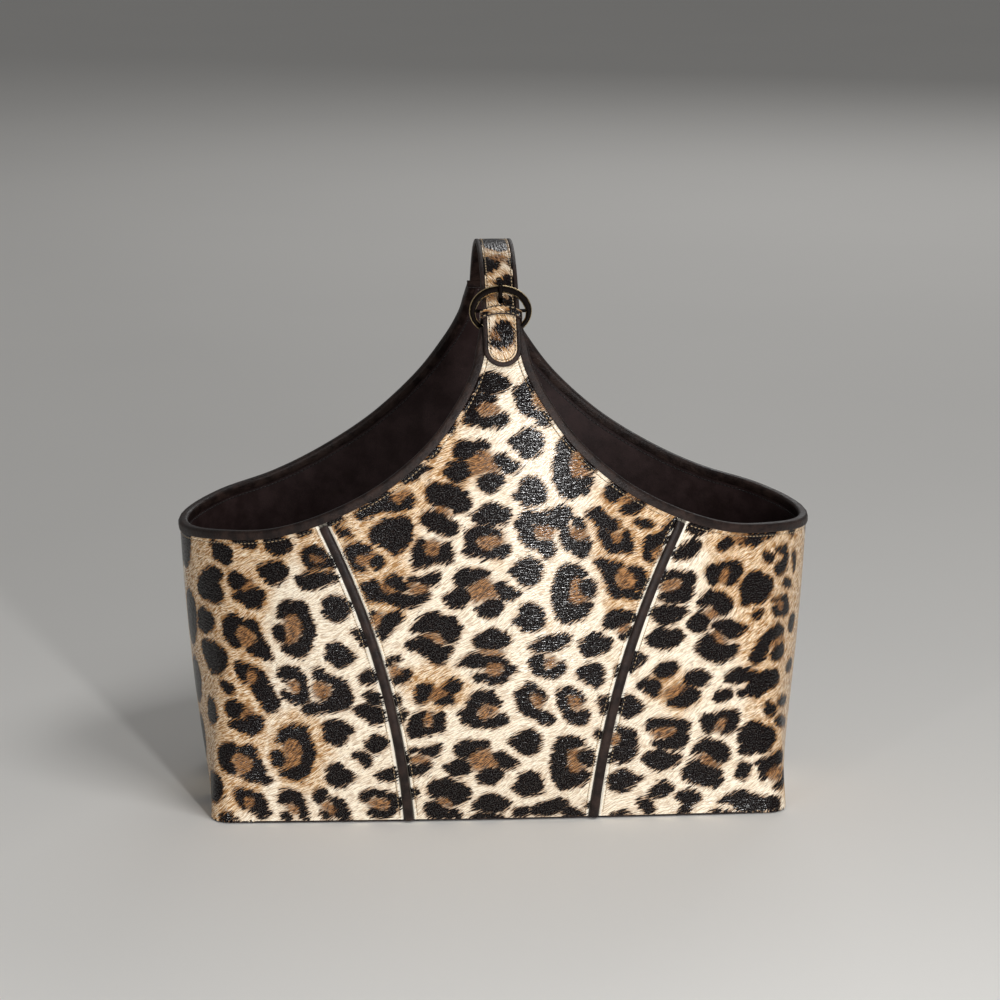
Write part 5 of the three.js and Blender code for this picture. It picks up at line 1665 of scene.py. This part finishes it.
class BASKET_OT_binding(BasketOperator, bpy.types.Operator):
    """Makes the two bindings folded over the rim, from neck to neck round each end"""

    bl_idname = "basket.binding"
    bl_label = "Rim Binding"

    def execute(self, context):
        count = int(RIM_LINE.total / self.sizes.trim_step)
        length = np.linspace(0, RIM_LINE.total, count + 1)
        height = RIM_LINE.at(length)[:, 1]
        share = np.interp(length, RIM_LINE.lengths, RIM_AT)
        share = np.concatenate([share, share[-2::-1]])
        height = np.concatenate([height, height[-2::-1]])
        side = np.where(np.arange(len(share)) <= count, 1, -1)
        point = wall_point(share, height, np.zeros_like(share), 1, side)
        normal = wall_normal(share, height, 1, side)
        section = [(-u, v) for u, v in binding_section()]
        rows = swept(point, normal, section)
        for name, hand in (("left", -1), ("right", 1)):
            turned_end = close_grid(lay_grid(f"{name}_turned_end", mirrored(neck_fold(), hand, 1)))
            piece = close_grid(lay_grid(f"{name}_rim_fold", mirrored(rows, hand, 1)))
            smooth(join(piece, turned_end), 50)
            dress(piece, "basket", "brown_leather", finish("brown"), f"{name}_rim_binding")
        return {"FINISHED"}


# Strap

STRAP_FROM = STRAP_WIDTH / 2 - STRAP_TIP_LAP
STRAP_TO = ARCH_SPAN + STRAP_BACK_LAP - STRAP_WIDTH / 2
STRAP_PRINT_REPEAT = 122
STRAP_STITCH_INSET = STRAP_EDGE + GAP + 1.2 * MM


def turned(outlines):
    """Outlines turned a quarter, as the strap is cut across the leather."""
    return tuple(tuple(v for i in range(0, len(o), 2) for v in (-o[i + 1], o[i])) for o in outlines)


def strap_loop(step):
    """Once round the strap: place along its middle line and the way out from there, across and along."""
    turn = np.linspace(0, math.pi, 25)
    run = np.linspace(STRAP_FROM, STRAP_TO, int((STRAP_TO - STRAP_FROM) / step) + 1)
    tip = [(STRAP_FROM, -math.cos(t), -math.sin(t)) for t in turn]
    up = [(d, 1, 0) for d in run[1:-1]]
    tail = [(STRAP_TO, math.cos(t), math.sin(t)) for t in turn]
    down = [(d, -1, 0) for d in run[-2:0:-1]]
    return np.array(tip + up + tail + down + tip[:1])


def strap_skin(name, profile, step):
    """A closed skin round the strap; every row of the profile is a half width and a lift off the seat."""
    middle, across, along = strap_loop(step).T
    rows, places = [], []
    for half, lift in profile:
        distance = middle + along * half
        rows.append(arch_point(across * half, distance, strap_seat(distance) + lift))
        places.append(np.stack([-distance, across * half], -1))
    return weld(lay_grid(name, np.array(rows), np.array(places)))


def strap_lining_profile():
    half = STRAP_WIDTH / 2
    top = STRAP_LEVELS["top"] + 0.15 * MM
    inside = half - STRAP_EDGE
    outer = arc((half - 0.9 * MM, top / 2), (0.9 * MM, top / 2), -90, 90, 10)
    roll = arc((inside + 0.5 * MM, top - 0.5 * MM), 0.5 * MM, 90, 180, 5)
    floor = STRAP_LEVELS["floor"]
    seat = [(inside, floor + 0.3 * MM), (inside, floor), (half / 2, floor), (0, floor)]
    return [(0, 0), (half / 2, 0)] + outer + roll + seat


def strap_face_profile():
    half = STRAP_WIDTH / 2 - STRAP_EDGE - GAP
    top, low = STRAP_LEVELS["top"], STRAP_LEVELS["face"]
    crown = [(w * half, top + 0.12 * MM * (1 - w * w)) for w in np.linspace(0, 0.68, 8)]
    row = STRAP_WIDTH / 2 - STRAP_STITCH_INSET
    groove = [(row - 0.6 * MM, top), (row, top - 0.22 * MM), (row + 0.6 * MM, top + 0.02 * MM)]
    edge = arc((half - 0.35 * MM, top - 0.3 * MM), (0.35 * MM, 0.3 * MM), 90, 0, 4)
    return crown + groove + edge + [(half, low), (half / 2, low), (0, low)]


def punch(obj, tools):
    """Cuts tools out of a piece and deletes them."""
    for tool in tools:
        finish_with(obj, "BOOLEAN", operation="DIFFERENCE", solver="EXACT", object=tool)
    for tool in tools:
        bpy.data.objects.remove(tool)
    return obj


PUNCH_DEPTH = 8 * MM
FREE_HOLES = 2


def slot_tool(length, width, depth, placing):
    """A round or slotted cutter, as long along the arch as the given length or its own width."""
    deselect()
    bpy.ops.mesh.primitive_cylinder_add(vertices=32, radius=width / 2, depth=depth)
    tool = bpy.context.object
    flat = max(length - width, 0) / 2
    for v in tool.data.vertices:
        v.co.y += math.copysign(flat, v.co.y) if abs(v.co.y) > 1e-7 else 0
    tool.data.transform(placing)
    return tool


def strap_holes():
    slot_near, slot_far = PRONG_SLOT
    holes = [(BAR_DISTANCE + (slot_near + slot_far) / 2, slot_far - slot_near, PRONG_WIDTH + 2 * GAP)]
    first = BAR_DISTANCE + FIRST_FREE_HOLE
    holes += [(first + HOLE_SPACING * i, 0, HOLE_DIAMETER) for i in range(FREE_HOLES)]
    half_way = STRAP_LEVELS["top"] / 2
    return [slot_tool(length, width, PUNCH_DEPTH, arch_matrix(at, float(strap_seat(at)) + half_way))
            for at, length, width in holes]


class BASKET_OT_strap(BasketOperator, bpy.types.Operator):
    """Makes the arched strap: dark lining with turned-up edges and the printed face let into it"""

    bl_idname = "basket.strap"
    bl_label = "Strap"

    def execute(self, context):
        step = self.sizes.panel_step
        lining = punch(strap_skin("strap_turned_lining", strap_lining_profile(), step), strap_holes())
        smooth(lining, 50)
        dress(lining, "basket", "brown_leather", finish("brown"), "strap_lining")
        face = punch(strap_skin("strap_printed_face", strap_face_profile(), step), strap_holes())
        smooth(face, 50)
        drawn = (STRAP_SPOTS, STRAP_HEARTS, STRAP_TAN)
        paint_print(face, *(turned(once + moved(once, 0, STRAP_PRINT_REPEAT, -1)) for once in drawn))
        dress(face, "basket", "print_leather", finish("print"), "strap_face")
        return {"FINISHED"}


# Buckle and tab


def tab_path():
    """Outer face of the tab, as places along the arch and off it, from its front end round to its back."""
    front = [(d, BAR_LIFT + TAB_OUTSIDE) for d in np.linspace(-TAB_LAP, BAR_DISTANCE, 30)[:-1]]
    back = [(d, BAR_LIFT - TAB_OUTSIDE) for d in np.linspace(BAR_DISTANCE, -TAB_TUCK, 26)[1:]]
    front_points = [arch_point(0.0, d, lift) for d, lift in front]
    back_points = [arch_point(0.0, d, lift) for d, lift in back]
    placing = arch_matrix(BAR_DISTANCE, BAR_LIFT)
    fold = [placing @ Vector((0, TAB_OUTSIDE * math.cos(t), TAB_OUTSIDE * math.sin(t)))
            for t in np.linspace(math.pi / 2, -math.pi / 2, 21)]
    distances = [d for d, _ in front] + [BAR_DISTANCE] * 21 + [d for d, _ in back]
    return np.array(front_points + [tuple(p) for p in fold] + back_points), np.array(distances)


def tab_half_width(distance):
    """Full width round the bar, narrower between the bindings, with a soft shoulder between."""
    wide = TAB_WIDTH / 2
    narrow = NECK_WIDTH / 2 + GAP - BINDING_HEIGHT
    return narrow + (wide - narrow) * np.clip((distance - GAP) / (0.5 * MM), 0, 1)


def buckle_tab():
    path, distance = tab_path()
    ahead = unit(np.gradient(path, axis=0))
    half = tab_half_width(distance)
    out = np.cross(ahead, np.array([1.0, 0, 0]))
    bar_level = arch_point(np.zeros(len(path)), distance, np.full(len(path), BAR_LIFT))
    sign = np.sign(np.sum(out * (path - bar_level), -1))
    roll = TAB / 2
    rows = []
    for p, o, s, w in zip(path, out, sign, half):
        centre = p - o * s * roll
        ring = arc((w - roll, 0), roll, -90, 90, 6) + arc((roll - w, 0), roll, 90, 270, 6)
        ring.append(ring[0])
        rows.append([centre + np.array([x, 0, 0]) + o * s * v for x, v in ring])
    tab = close_grid(lay_grid("buckle_leather_tab", np.array(rows)))
    reach = 4 * TAB_OUTSIDE
    slot = slot_tool(reach, PRONG_WIDTH + 2 * GAP, reach, arch_matrix(BAR_DISTANCE, BAR_LIFT))
    return smooth(punch(tab, [slot]), 45)


RING_INWARD = 1.3 * MM
RING_SQUARE = 0.45
ROLL_SQUARE = 0.55

# Shares of the dark finish rubbed through: on the frame's face, on its bar and on the prong
FACE_RUB = 0.06
BAR_RUB = 0.2
PRONG_RUB = 0.25

# Minor radius of a torus primitive before it is shaped
TUBE = 0.1


def buckle_ring():
    """Oval frame with flattened faces and a bar across its middle."""
    across, up = (RING_WIDTH - RING_BAND) / 2, (RING_HEIGHT - RING_BAND) / 2
    deselect()
    bpy.ops.mesh.primitive_torus_add(major_segments=128, minor_segments=28, major_radius=1, minor_radius=TUBE)
    hoop = bpy.context.object
    hoop.name = hoop.data.name = "buckle_frame"
    rubbed = []
    for v in hoop.data.vertices:
        turn = math.atan2(v.co.y, v.co.x)
        side = (math.hypot(v.co.x, v.co.y) - 1) / TUBE
        face = v.co.z / TUBE
        away = Vector((up * math.cos(turn), across * math.sin(turn), 0)).normalized()
        square = max(abs(side), abs(face)) ** RING_SQUARE
        inward = RING_INWARD * np.clip(0.5 + 1.5 * math.sin(turn), 0, 1)
        u = (side / square * (RING_BAND + inward) - inward) / 2
        w = face / square * RING_DEPTH / 2
        v.co = Vector((across * math.cos(turn), up * math.sin(turn), w)) + away * u
        # Brass on the frame's side walls: rubbed edges, and painted reflection where the bevels catch the
        # light
        rubbed.append(min(abs(side) * 1.15, 1) ** 4 if face < 0.9 else FACE_RUB)
    deselect()
    bpy.ops.mesh.primitive_cylinder_add(
        vertices=32, radius=BAR_DIAMETER / 2, depth=2 * across, rotation=(0, math.pi / 2, 0))
    join(hoop, bpy.context.object)
    rubbed += [BAR_RUB] * (len(hoop.data.vertices) - len(rubbed))
    store(hoop.data, "rubbed", rubbed)
    hoop.data.transform(arch_matrix(BAR_DISTANCE, BAR_LIFT) @ Matrix.Rotation(RING_TILT, 4, "X"))
    return smooth(hoop, 40)


PRONG_TIP = 1.5 * MM
PRONG_BEND = 1.1 * MM


def prong_line():
    """The prong's middle line beside the bar: up through the strap, over and onto the frame."""
    lie = RING_DEPTH / 2 + GAP + PRONG_THICKNESS / 2
    cos, sin = math.cos(RING_TILT), math.sin(RING_TILT)

    def over_ring(reach):
        return reach * cos - lie * sin, reach * sin + lie * cos

    under = STRAP_SEAT_FRONT - BAR_LIFT - GAP - PRONG_THICKNESS / 2
    corners = [(TAB_INSIDE, 0), (PRONG_KNEE - PRONG_RISE / 4, under - PRONG_RISE / 2),
               over_ring(PRONG_KNEE + PRONG_RISE), over_ring(RING_HEIGHT / 2 + PRONG_OVERHANG)]
    return Line(smooth_corners(corners, PRONG_BEND, 7))


def smooth_corners(corners, radius, steps):
    """A polyline with its corners rounded."""
    corners = np.array(corners)
    line = [corners[0]]
    for before, corner, after in zip(corners, corners[1:], corners[2:]):
        start = corner + unit(before - corner) * radius
        end = corner + unit(after - corner) * radius
        for t in np.linspace(0, 1, steps):
            line.append(start * (1 - t) ** 2 + corner * 2 * t * (1 - t) + end * t * t)
    line.append(corners[-1])
    return line


def buckle_prong():
    """Prong rolled round the bar, with a rounded tip that thins towards its end."""
    line = prong_line()
    round_tip = PRONG_TIP * (1 - np.sin(np.linspace(0, math.pi / 2, 9)))
    shank = np.linspace(0, line.total - PRONG_TIP, 40)
    lengths = np.unique(np.concatenate([shank, line.total - round_tip]))
    left = (line.total - lengths) / PRONG_TIP
    taper = np.where(left < 1, np.sqrt(np.clip(1 - (1 - left) ** 2, 0.01, 1)), 1)
    point = line.at(lengths)
    ahead = unit(line.at(lengths + 0.05 * MM) - line.at(lengths - 0.05 * MM))
    half, thick = PRONG_WIDTH / 2, PRONG_THICKNESS / 2
    rows = []
    for p, a, k in zip(point, ahead, taper):
        away = np.array([-a[1], a[0]])
        ring = []
        for t in np.linspace(0, 2 * math.pi, 25):
            c, s = math.cos(t), math.sin(t)
            square = max(abs(c), abs(s)) ** 0.5
            offset = p + away * thick * k * s / square
            ring.append((half * k * c / square, offset[0], offset[1]))
        rows.append(ring)
    shaft = close_grid(lay_grid("buckle_tongue", np.array(rows)))
    deselect()
    bpy.ops.mesh.primitive_torus_add(
        major_segments=40, minor_segments=20, major_radius=1, minor_radius=TUBE, rotation=(0, math.pi / 2, 0))
    bpy.ops.object.transform_apply(location=False, rotation=True, scale=False)
    roll = bpy.context.object
    middle = (TAB_INSIDE + TAB_OUTSIDE) / 2
    for v in roll.data.vertices:
        radius = math.hypot(v.co.y, v.co.z)
        side, face = v.co.x / TUBE, (radius - 1) / TUBE
        square = max(abs(side), abs(face)) ** ROLL_SQUARE
        out = middle + face / square * (TAB / 2)
        v.co = Vector((side / square * half, v.co.y / radius * out, v.co.z / radius * out))
    join(shaft, roll)
    store(shaft.data, "rubbed", [PRONG_RUB] * len(shaft.data.vertices))
    shaft.data.transform(arch_matrix(BAR_DISTANCE, BAR_LIFT))
    return smooth(shaft, 45)


class BASKET_OT_buckle(BasketOperator, bpy.types.Operator):
    """Makes the oval frame with its bar, the prong and the leather tab round the bar"""

    bl_idname = "basket.buckle"
    bl_label = "Buckle"

    def execute(self, context):
        dress(buckle_tab(), "basket", "brown_leather", finish("brown"), "buckle_tab")
        dress(buckle_ring(), "ring", "aged_brass", finish("brass"), "buckle_ring")
        dress(buckle_prong(), "prong", "aged_brass", finish("brass"), "buckle_prong")
        return {"FINISHED"}


# Keeper


def keeper_path():
    """Once round the strap and the tab, across and out, on the middle of the keeper's thickness."""
    low = BAR_LIFT - TAB_OUTSIDE - KEEPER_PLAY - KEEPER / 2
    high = STRAP_SEAT_FRONT + STRAP_LEVELS["top"] + KEEPER_PLAY + KEEPER / 2
    half = STRAP_WIDTH / 2 + GAP + KEEPER / 2
    round_over = KEEPER_CORNER - KEEPER / 2
    x, top, foot = half - round_over, high - round_over, low + round_over
    corners = (((x, top), 0), ((-x, top), 90), ((-x, foot), 180), ((x, foot), 270))
    line = []
    for centre, start in corners:
        line += arc(centre, round_over, start, start + 90, 8)
    closed = Line(line + line[:1])
    return closed.at(np.linspace(0, closed.total, 97))[:-1]


def keeper_section():
    """Along the strap and off the loop: rolled dark edges and a shallow groove for the stitches."""
    half, thick = KEEPER_LENGTH / 2, KEEPER / 2
    edge = arc((half - thick, 0), thick, -90, 90, 8)
    top = [(half - thick - 0.3 * MM, thick - 0.05 * MM), (0.8 * MM, thick), (-0.8 * MM, thick),
           (0.3 * MM + thick - half, thick - 0.05 * MM)]
    other = arc((thick - half, 0), thick, 90, 270, 8)
    return np.array(edge + top + other)


KEEPER_BOW = (1.2 * MM, 2.2 * MM)
KEEPER_CROWN = 0.9 * MM
KEEPER_STRAIGHT = 2 * MM
KEEPER_ROWS = (-2.3 * MM, 2.3 * MM)


def keeper_bow(path):
    """How far the front of the loop bows up along the strap, and out from it, at each point."""
    half, high = path[:, 0].max(), path[:, 1].max()
    front = np.clip((path[:, 1] - KEEPER_STRAIGHT) / (high - KEEPER_STRAIGHT), 0, 1)
    middle = 1 - (path[:, 0] / half) ** 2
    return (KEEPER_BOW[0] * middle - KEEPER_BOW[1] * (1 - middle)) * front, KEEPER_CROWN * middle * front


def keeper_mesh():
    path = keeper_path()
    ahead = unit(np.roll(path, -1, 0) - np.roll(path, 1, 0))
    away = np.stack([ahead[:, 1], -ahead[:, 0]], -1)
    section = keeper_section()
    section = np.vstack([section, section[:1]])
    placing = np.array(arch_matrix(BAR_DISTANCE - KEEPER_FROM_BAR - KEEPER_LENGTH / 2, 0))
    rows, uv = [], []
    travelled = 0
    along, out = keeper_bow(path)
    for i in list(range(len(path))) + [0]:
        flat = path[i] + away[i] * section[:, 1:]
        local = np.stack([flat[:, 0], section[:, 0] + along[i], flat[:, 1] + out[i]], -1)
        rows.append(local @ placing[:3, :3].T + placing[:3, 3])
        uv.append(np.stack([np.full(len(section), travelled), section[:, 0]], -1))
        travelled += np.linalg.norm(path[(i + 1) % len(path)] - path[i])
    obj = lay_grid("keeper_band", np.array(rows), np.array(uv))
    edges = len(arc((0, 0), 1, -90, 90, 8))
    columns = len(section) - 1
    dark = np.array([k < edges or k >= columns - edges for k in range(columns)] * len(path))
    obj.data.materials.append(finish("print"))
    obj.data.materials.append(finish("brown"))
    obj.data.polygons.foreach_set("material_index", dark.astype(int))
    return smooth(weld(obj), 50)


class BASKET_OT_keeper(BasketOperator, bpy.types.Operator):
    """Makes the printed loop round the strap and the tab"""

    bl_idname = "basket.keeper"
    bl_label = "Keeper"

    def execute(self, context):
        keeper = keeper_mesh()
        paint_print(keeper, KEEPER_SPOTS, (), KEEPER_TAN)
        dress(keeper, "keeper", "print_leather", None, "keeper_loop")
        return {"FINISHED"}


# Stitching


def row_on_wall(flat, hand, side):
    share, height = rolled_up(flat)
    share = np.minimum(share, 1)
    out = turned_edges(unrolled(share, height))
    return wall_point(share, height, out, hand, side), wall_normal(share, height, hand, side)


def row_inside(hand, side):
    """The row below the binding, on the lining's inner face."""
    share, height = rolled_up(below_binding())
    ours = (share > 0) & (share <= 1)
    share, height = share[ours], height[ours]
    point = wall_point(share, height, np.full(share.shape, -WALL), hand, side)
    return point, -wall_normal(share, height, hand, side)


def below_binding():
    return beside(RIM_FLAT, -(BINDING_FOOT + STITCH_ROW))


def wall_rows():
    """Stitch rows of one quarter on the unrolled wall: of the middle panel and of the end panel."""
    reach = PANEL_SEAM_GAP + STITCH_ROW
    below_rim = below_binding()
    clear = below_rim[distance_to(SEAM_FLAT, below_rim) >= reach - 0.1 * MM]
    seam_across = np.interp(clear[:, 1], SEAM_FLAT[:, 1], SEAM_FLAT[:, 0])
    middle_rim, end_rim = clear[clear[:, 0] < seam_across], clear[clear[:, 0] > seam_across]
    rows = {"middle": [middle_rim[middle_rim[:, 0] > 0]], "end": [end_rim]}
    for key, distance in (("middle", reach), ("end", -reach)):
        line = beside(SEAM_FLAT, distance)
        up = line[:, 1]
        clear_of_rim = distance_to(RIM_FLAT, line) >= BINDING_FOOT + STITCH_ROW
        rows[key].append(line[clear_of_rim & (up > PANEL_FOOT + 2 * MM) & (up < SEAM_HEAD_HEIGHT)])
    return rows


STRAP_STITCH_SINK = 0.15 * MM


def strap_rows(step):
    middle, across, along = strap_loop(step).T
    half = STRAP_WIDTH / 2 - STRAP_STITCH_INSET
    distance = middle + along * half
    lift = strap_seat(distance) + STRAP_LEVELS["top"] - STRAP_STITCH_SINK
    points = arch_point(across * half, distance, lift)
    return [(points, unit(arch_point(across * half, distance, lift + 1) - points))]


def keeper_rows():
    path = keeper_path()
    placing = arch_matrix(BAR_DISTANCE - KEEPER_FROM_BAR - KEEPER_LENGTH / 2, 0)
    high = path[:, 1].max() - 0.3 * MM
    along, out = keeper_bow(path)
    front = path[:, 1] >= high
    normal = np.tile(np.array(placing.to_3x3() @ Vector((0, 0, 1))), (front.sum(), 1))
    rows = []
    for row in KEEPER_ROWS:
        places = zip(path[front], along[front], out[front])
        points = [placing @ Vector((x, a + row, z + o + KEEPER / 2)) for (x, z), a, o in places]
        rows.append((np.array([tuple(point) for point in points]), normal))
    return rows


class BASKET_OT_stitching(BasketOperator, bpy.types.Operator):
    """Sews the rows beside the piping, below the binding, round the strap and over the keeper"""

    bl_idname = "basket.stitching"
    bl_label = "Stitching"

    def execute(self, context):
        rows = wall_rows()
        seams = {
            "front_panel_stitching": [row_on_wall(r, hand, 1) for r in rows["middle"] for hand in (-1, 1)],
            "back_panel_stitching": [row_on_wall(r, hand, -1) for r in rows["middle"] for hand in (-1, 1)],
            "left_end_stitching": [row_on_wall(r, -1, side) for r in rows["end"] for side in (-1, 1)],
            "right_end_stitching": [row_on_wall(r, 1, side) for r in rows["end"] for side in (-1, 1)],
            "strap_stitching": strap_rows(self.sizes.trim_step),
            "keeper_stitching": keeper_rows(),
            "rim_lining_stitching": [row_inside(hand, side) for hand in (-1, 1) for side in (-1, 1)],
        }
        for name, lines in seams.items():
            colour = "lining_thread" if name == "rim_lining_stitching" else "thread"
            piece = add_stitching(name, lines, self.sizes, finish(colour), finish("hole"))
            dress(piece, "keeper" if name == "keeper_stitching" else "basket", "print_leather", None)
        return {"FINISHED"}


# Stage

FLOOR_SIZE = 60
FLOOR_GAP = 0.5 * MM
FLOOR_SHADE = (0.7, 0.69, 0.67, 1)

# Name, place, size and power of each lamp; all point at the middle of the basket
LAMP_TARGET = (0, 0, 0.18)
LAMPS = (
    ("key_strip", (0.325, -1.59, 0.36), (0.07, 0.66), "key_power"),
    ("side_strip", (-0.876, -1.5, 0.36), (0.035, 0.66), "fill_power"),
    ("above", (0.75, -1.0, 1.9), (0.8, 0.6), "top_power"),
    ("behind", (1.0, 3.2, 2.0), (1.6, 1.0), "rim_power"),
)


def stage_finish(colours):
    f = Finish("Pale Floor")
    place = f.object_place()
    tone = f.noise(place, 0.4, 2.0, 0.5)
    base = f.mix(f.band(tone, 0.2, 0.8, 0.0, 0.12), rgb(colours.floor), FLOOR_SHADE)
    return f.done(Base_Color=base, Roughness=0.85)


def add_floor():
    deselect()
    bpy.ops.mesh.primitive_plane_add(size=FLOOR_SIZE)
    floor = bpy.context.object
    floor.name = "studio_floor"
    for v in floor.data.vertices:
        v.co.z = -FLOOR_GAP
    floor.data.materials.append(stage_finish(bpy.context.scene.basket_stage))


def add_lamp(name, place, size, energy):
    deselect()
    bpy.ops.object.light_add(type="AREA", location=place)
    lamp = bpy.context.object
    lamp.name = name
    lamp.data.shape = "RECTANGLE"
    lamp.data.size, lamp.data.size_y = size
    lamp.data.energy = energy
    lamp.rotation_euler = (Vector(LAMP_TARGET) - Vector(place)).to_track_quat("-Z", "Y").to_euler()


def add_camera():
    deselect()
    bpy.ops.object.camera_add(location=CAMERA_PLACE, rotation=CAMERA_TURN)
    camera = bpy.context.object
    camera.data.lens = CAMERA_LENS
    camera.data.sensor_width = 36
    camera.data.sensor_fit = "HORIZONTAL"
    bpy.context.scene.camera = camera


class BASKET_OT_stage(BasketOperator, bpy.types.Operator):
    """Sets the floor, the soft lamps and the camera"""

    bl_idname = "basket.stage"
    bl_label = "Stage"

    def execute(self, context):
        stage = context.scene.basket_stage
        add_floor()
        add_camera()
        for name, place, size, key in LAMPS:
            add_lamp(name, place, size, getattr(stage, key))
        world = bpy.data.worlds.new("Studio")
        context.scene.world = world
        world.use_nodes = True
        background = world.node_tree.nodes["Background"]
        background.inputs["Color"].default_value = (1, 1, 1, 1)
        background.inputs["Strength"].default_value = stage.daylight
        context.scene.view_settings.view_transform = "Standard"
        return {"FINISHED"}


PIECES = (
    BASKET_OT_panels, BASKET_OT_linings, BASKET_OT_base, BASKET_OT_boards, BASKET_OT_piping,
    BASKET_OT_binding, BASKET_OT_strap, BASKET_OT_buckle, BASKET_OT_keeper, BASKET_OT_stitching,
    BASKET_OT_stage,
)


class BASKET_PT_pieces(bpy.types.Panel):
    """Lists the basket's pieces and the sizes and colours that they are made from"""

    bl_label = "Magazine Basket"
    bl_idname = "BASKET_PT_pieces"
    bl_space_type = "VIEW_3D"
    bl_region_type = "UI"
    bl_category = "Basket"

    def draw(self, context):
        for piece in PIECES:
            self.layout.operator(piece.bl_idname)
        for group in (context.scene.basket_sizes, context.scene.basket_colours, context.scene.basket_stage):
            box = self.layout.box()
            for key in group.__annotations__:
                box.prop(group, key)


CLASSES = (BasketSizes, BasketColours, BasketStage, *PIECES, BASKET_PT_pieces)


def register():
    for kind in CLASSES:
        bpy.utils.register_class(kind)
    bpy.types.Scene.basket_sizes = bpy.props.PointerProperty(type=BasketSizes)
    bpy.types.Scene.basket_colours = bpy.props.PointerProperty(type=BasketColours)
    bpy.types.Scene.basket_stage = bpy.props.PointerProperty(type=BasketStage)


def unregister():
    del bpy.types.Scene.basket_stage
    del bpy.types.Scene.basket_colours
    del bpy.types.Scene.basket_sizes
    for kind in reversed(CLASSES):
        bpy.utils.unregister_class(kind)


def main():
    register()
    for piece in PIECES:
        group, name = piece.bl_idname.split(".")
        getattr(getattr(bpy.ops, group), name)()


if __name__ == "__main__":
    main()
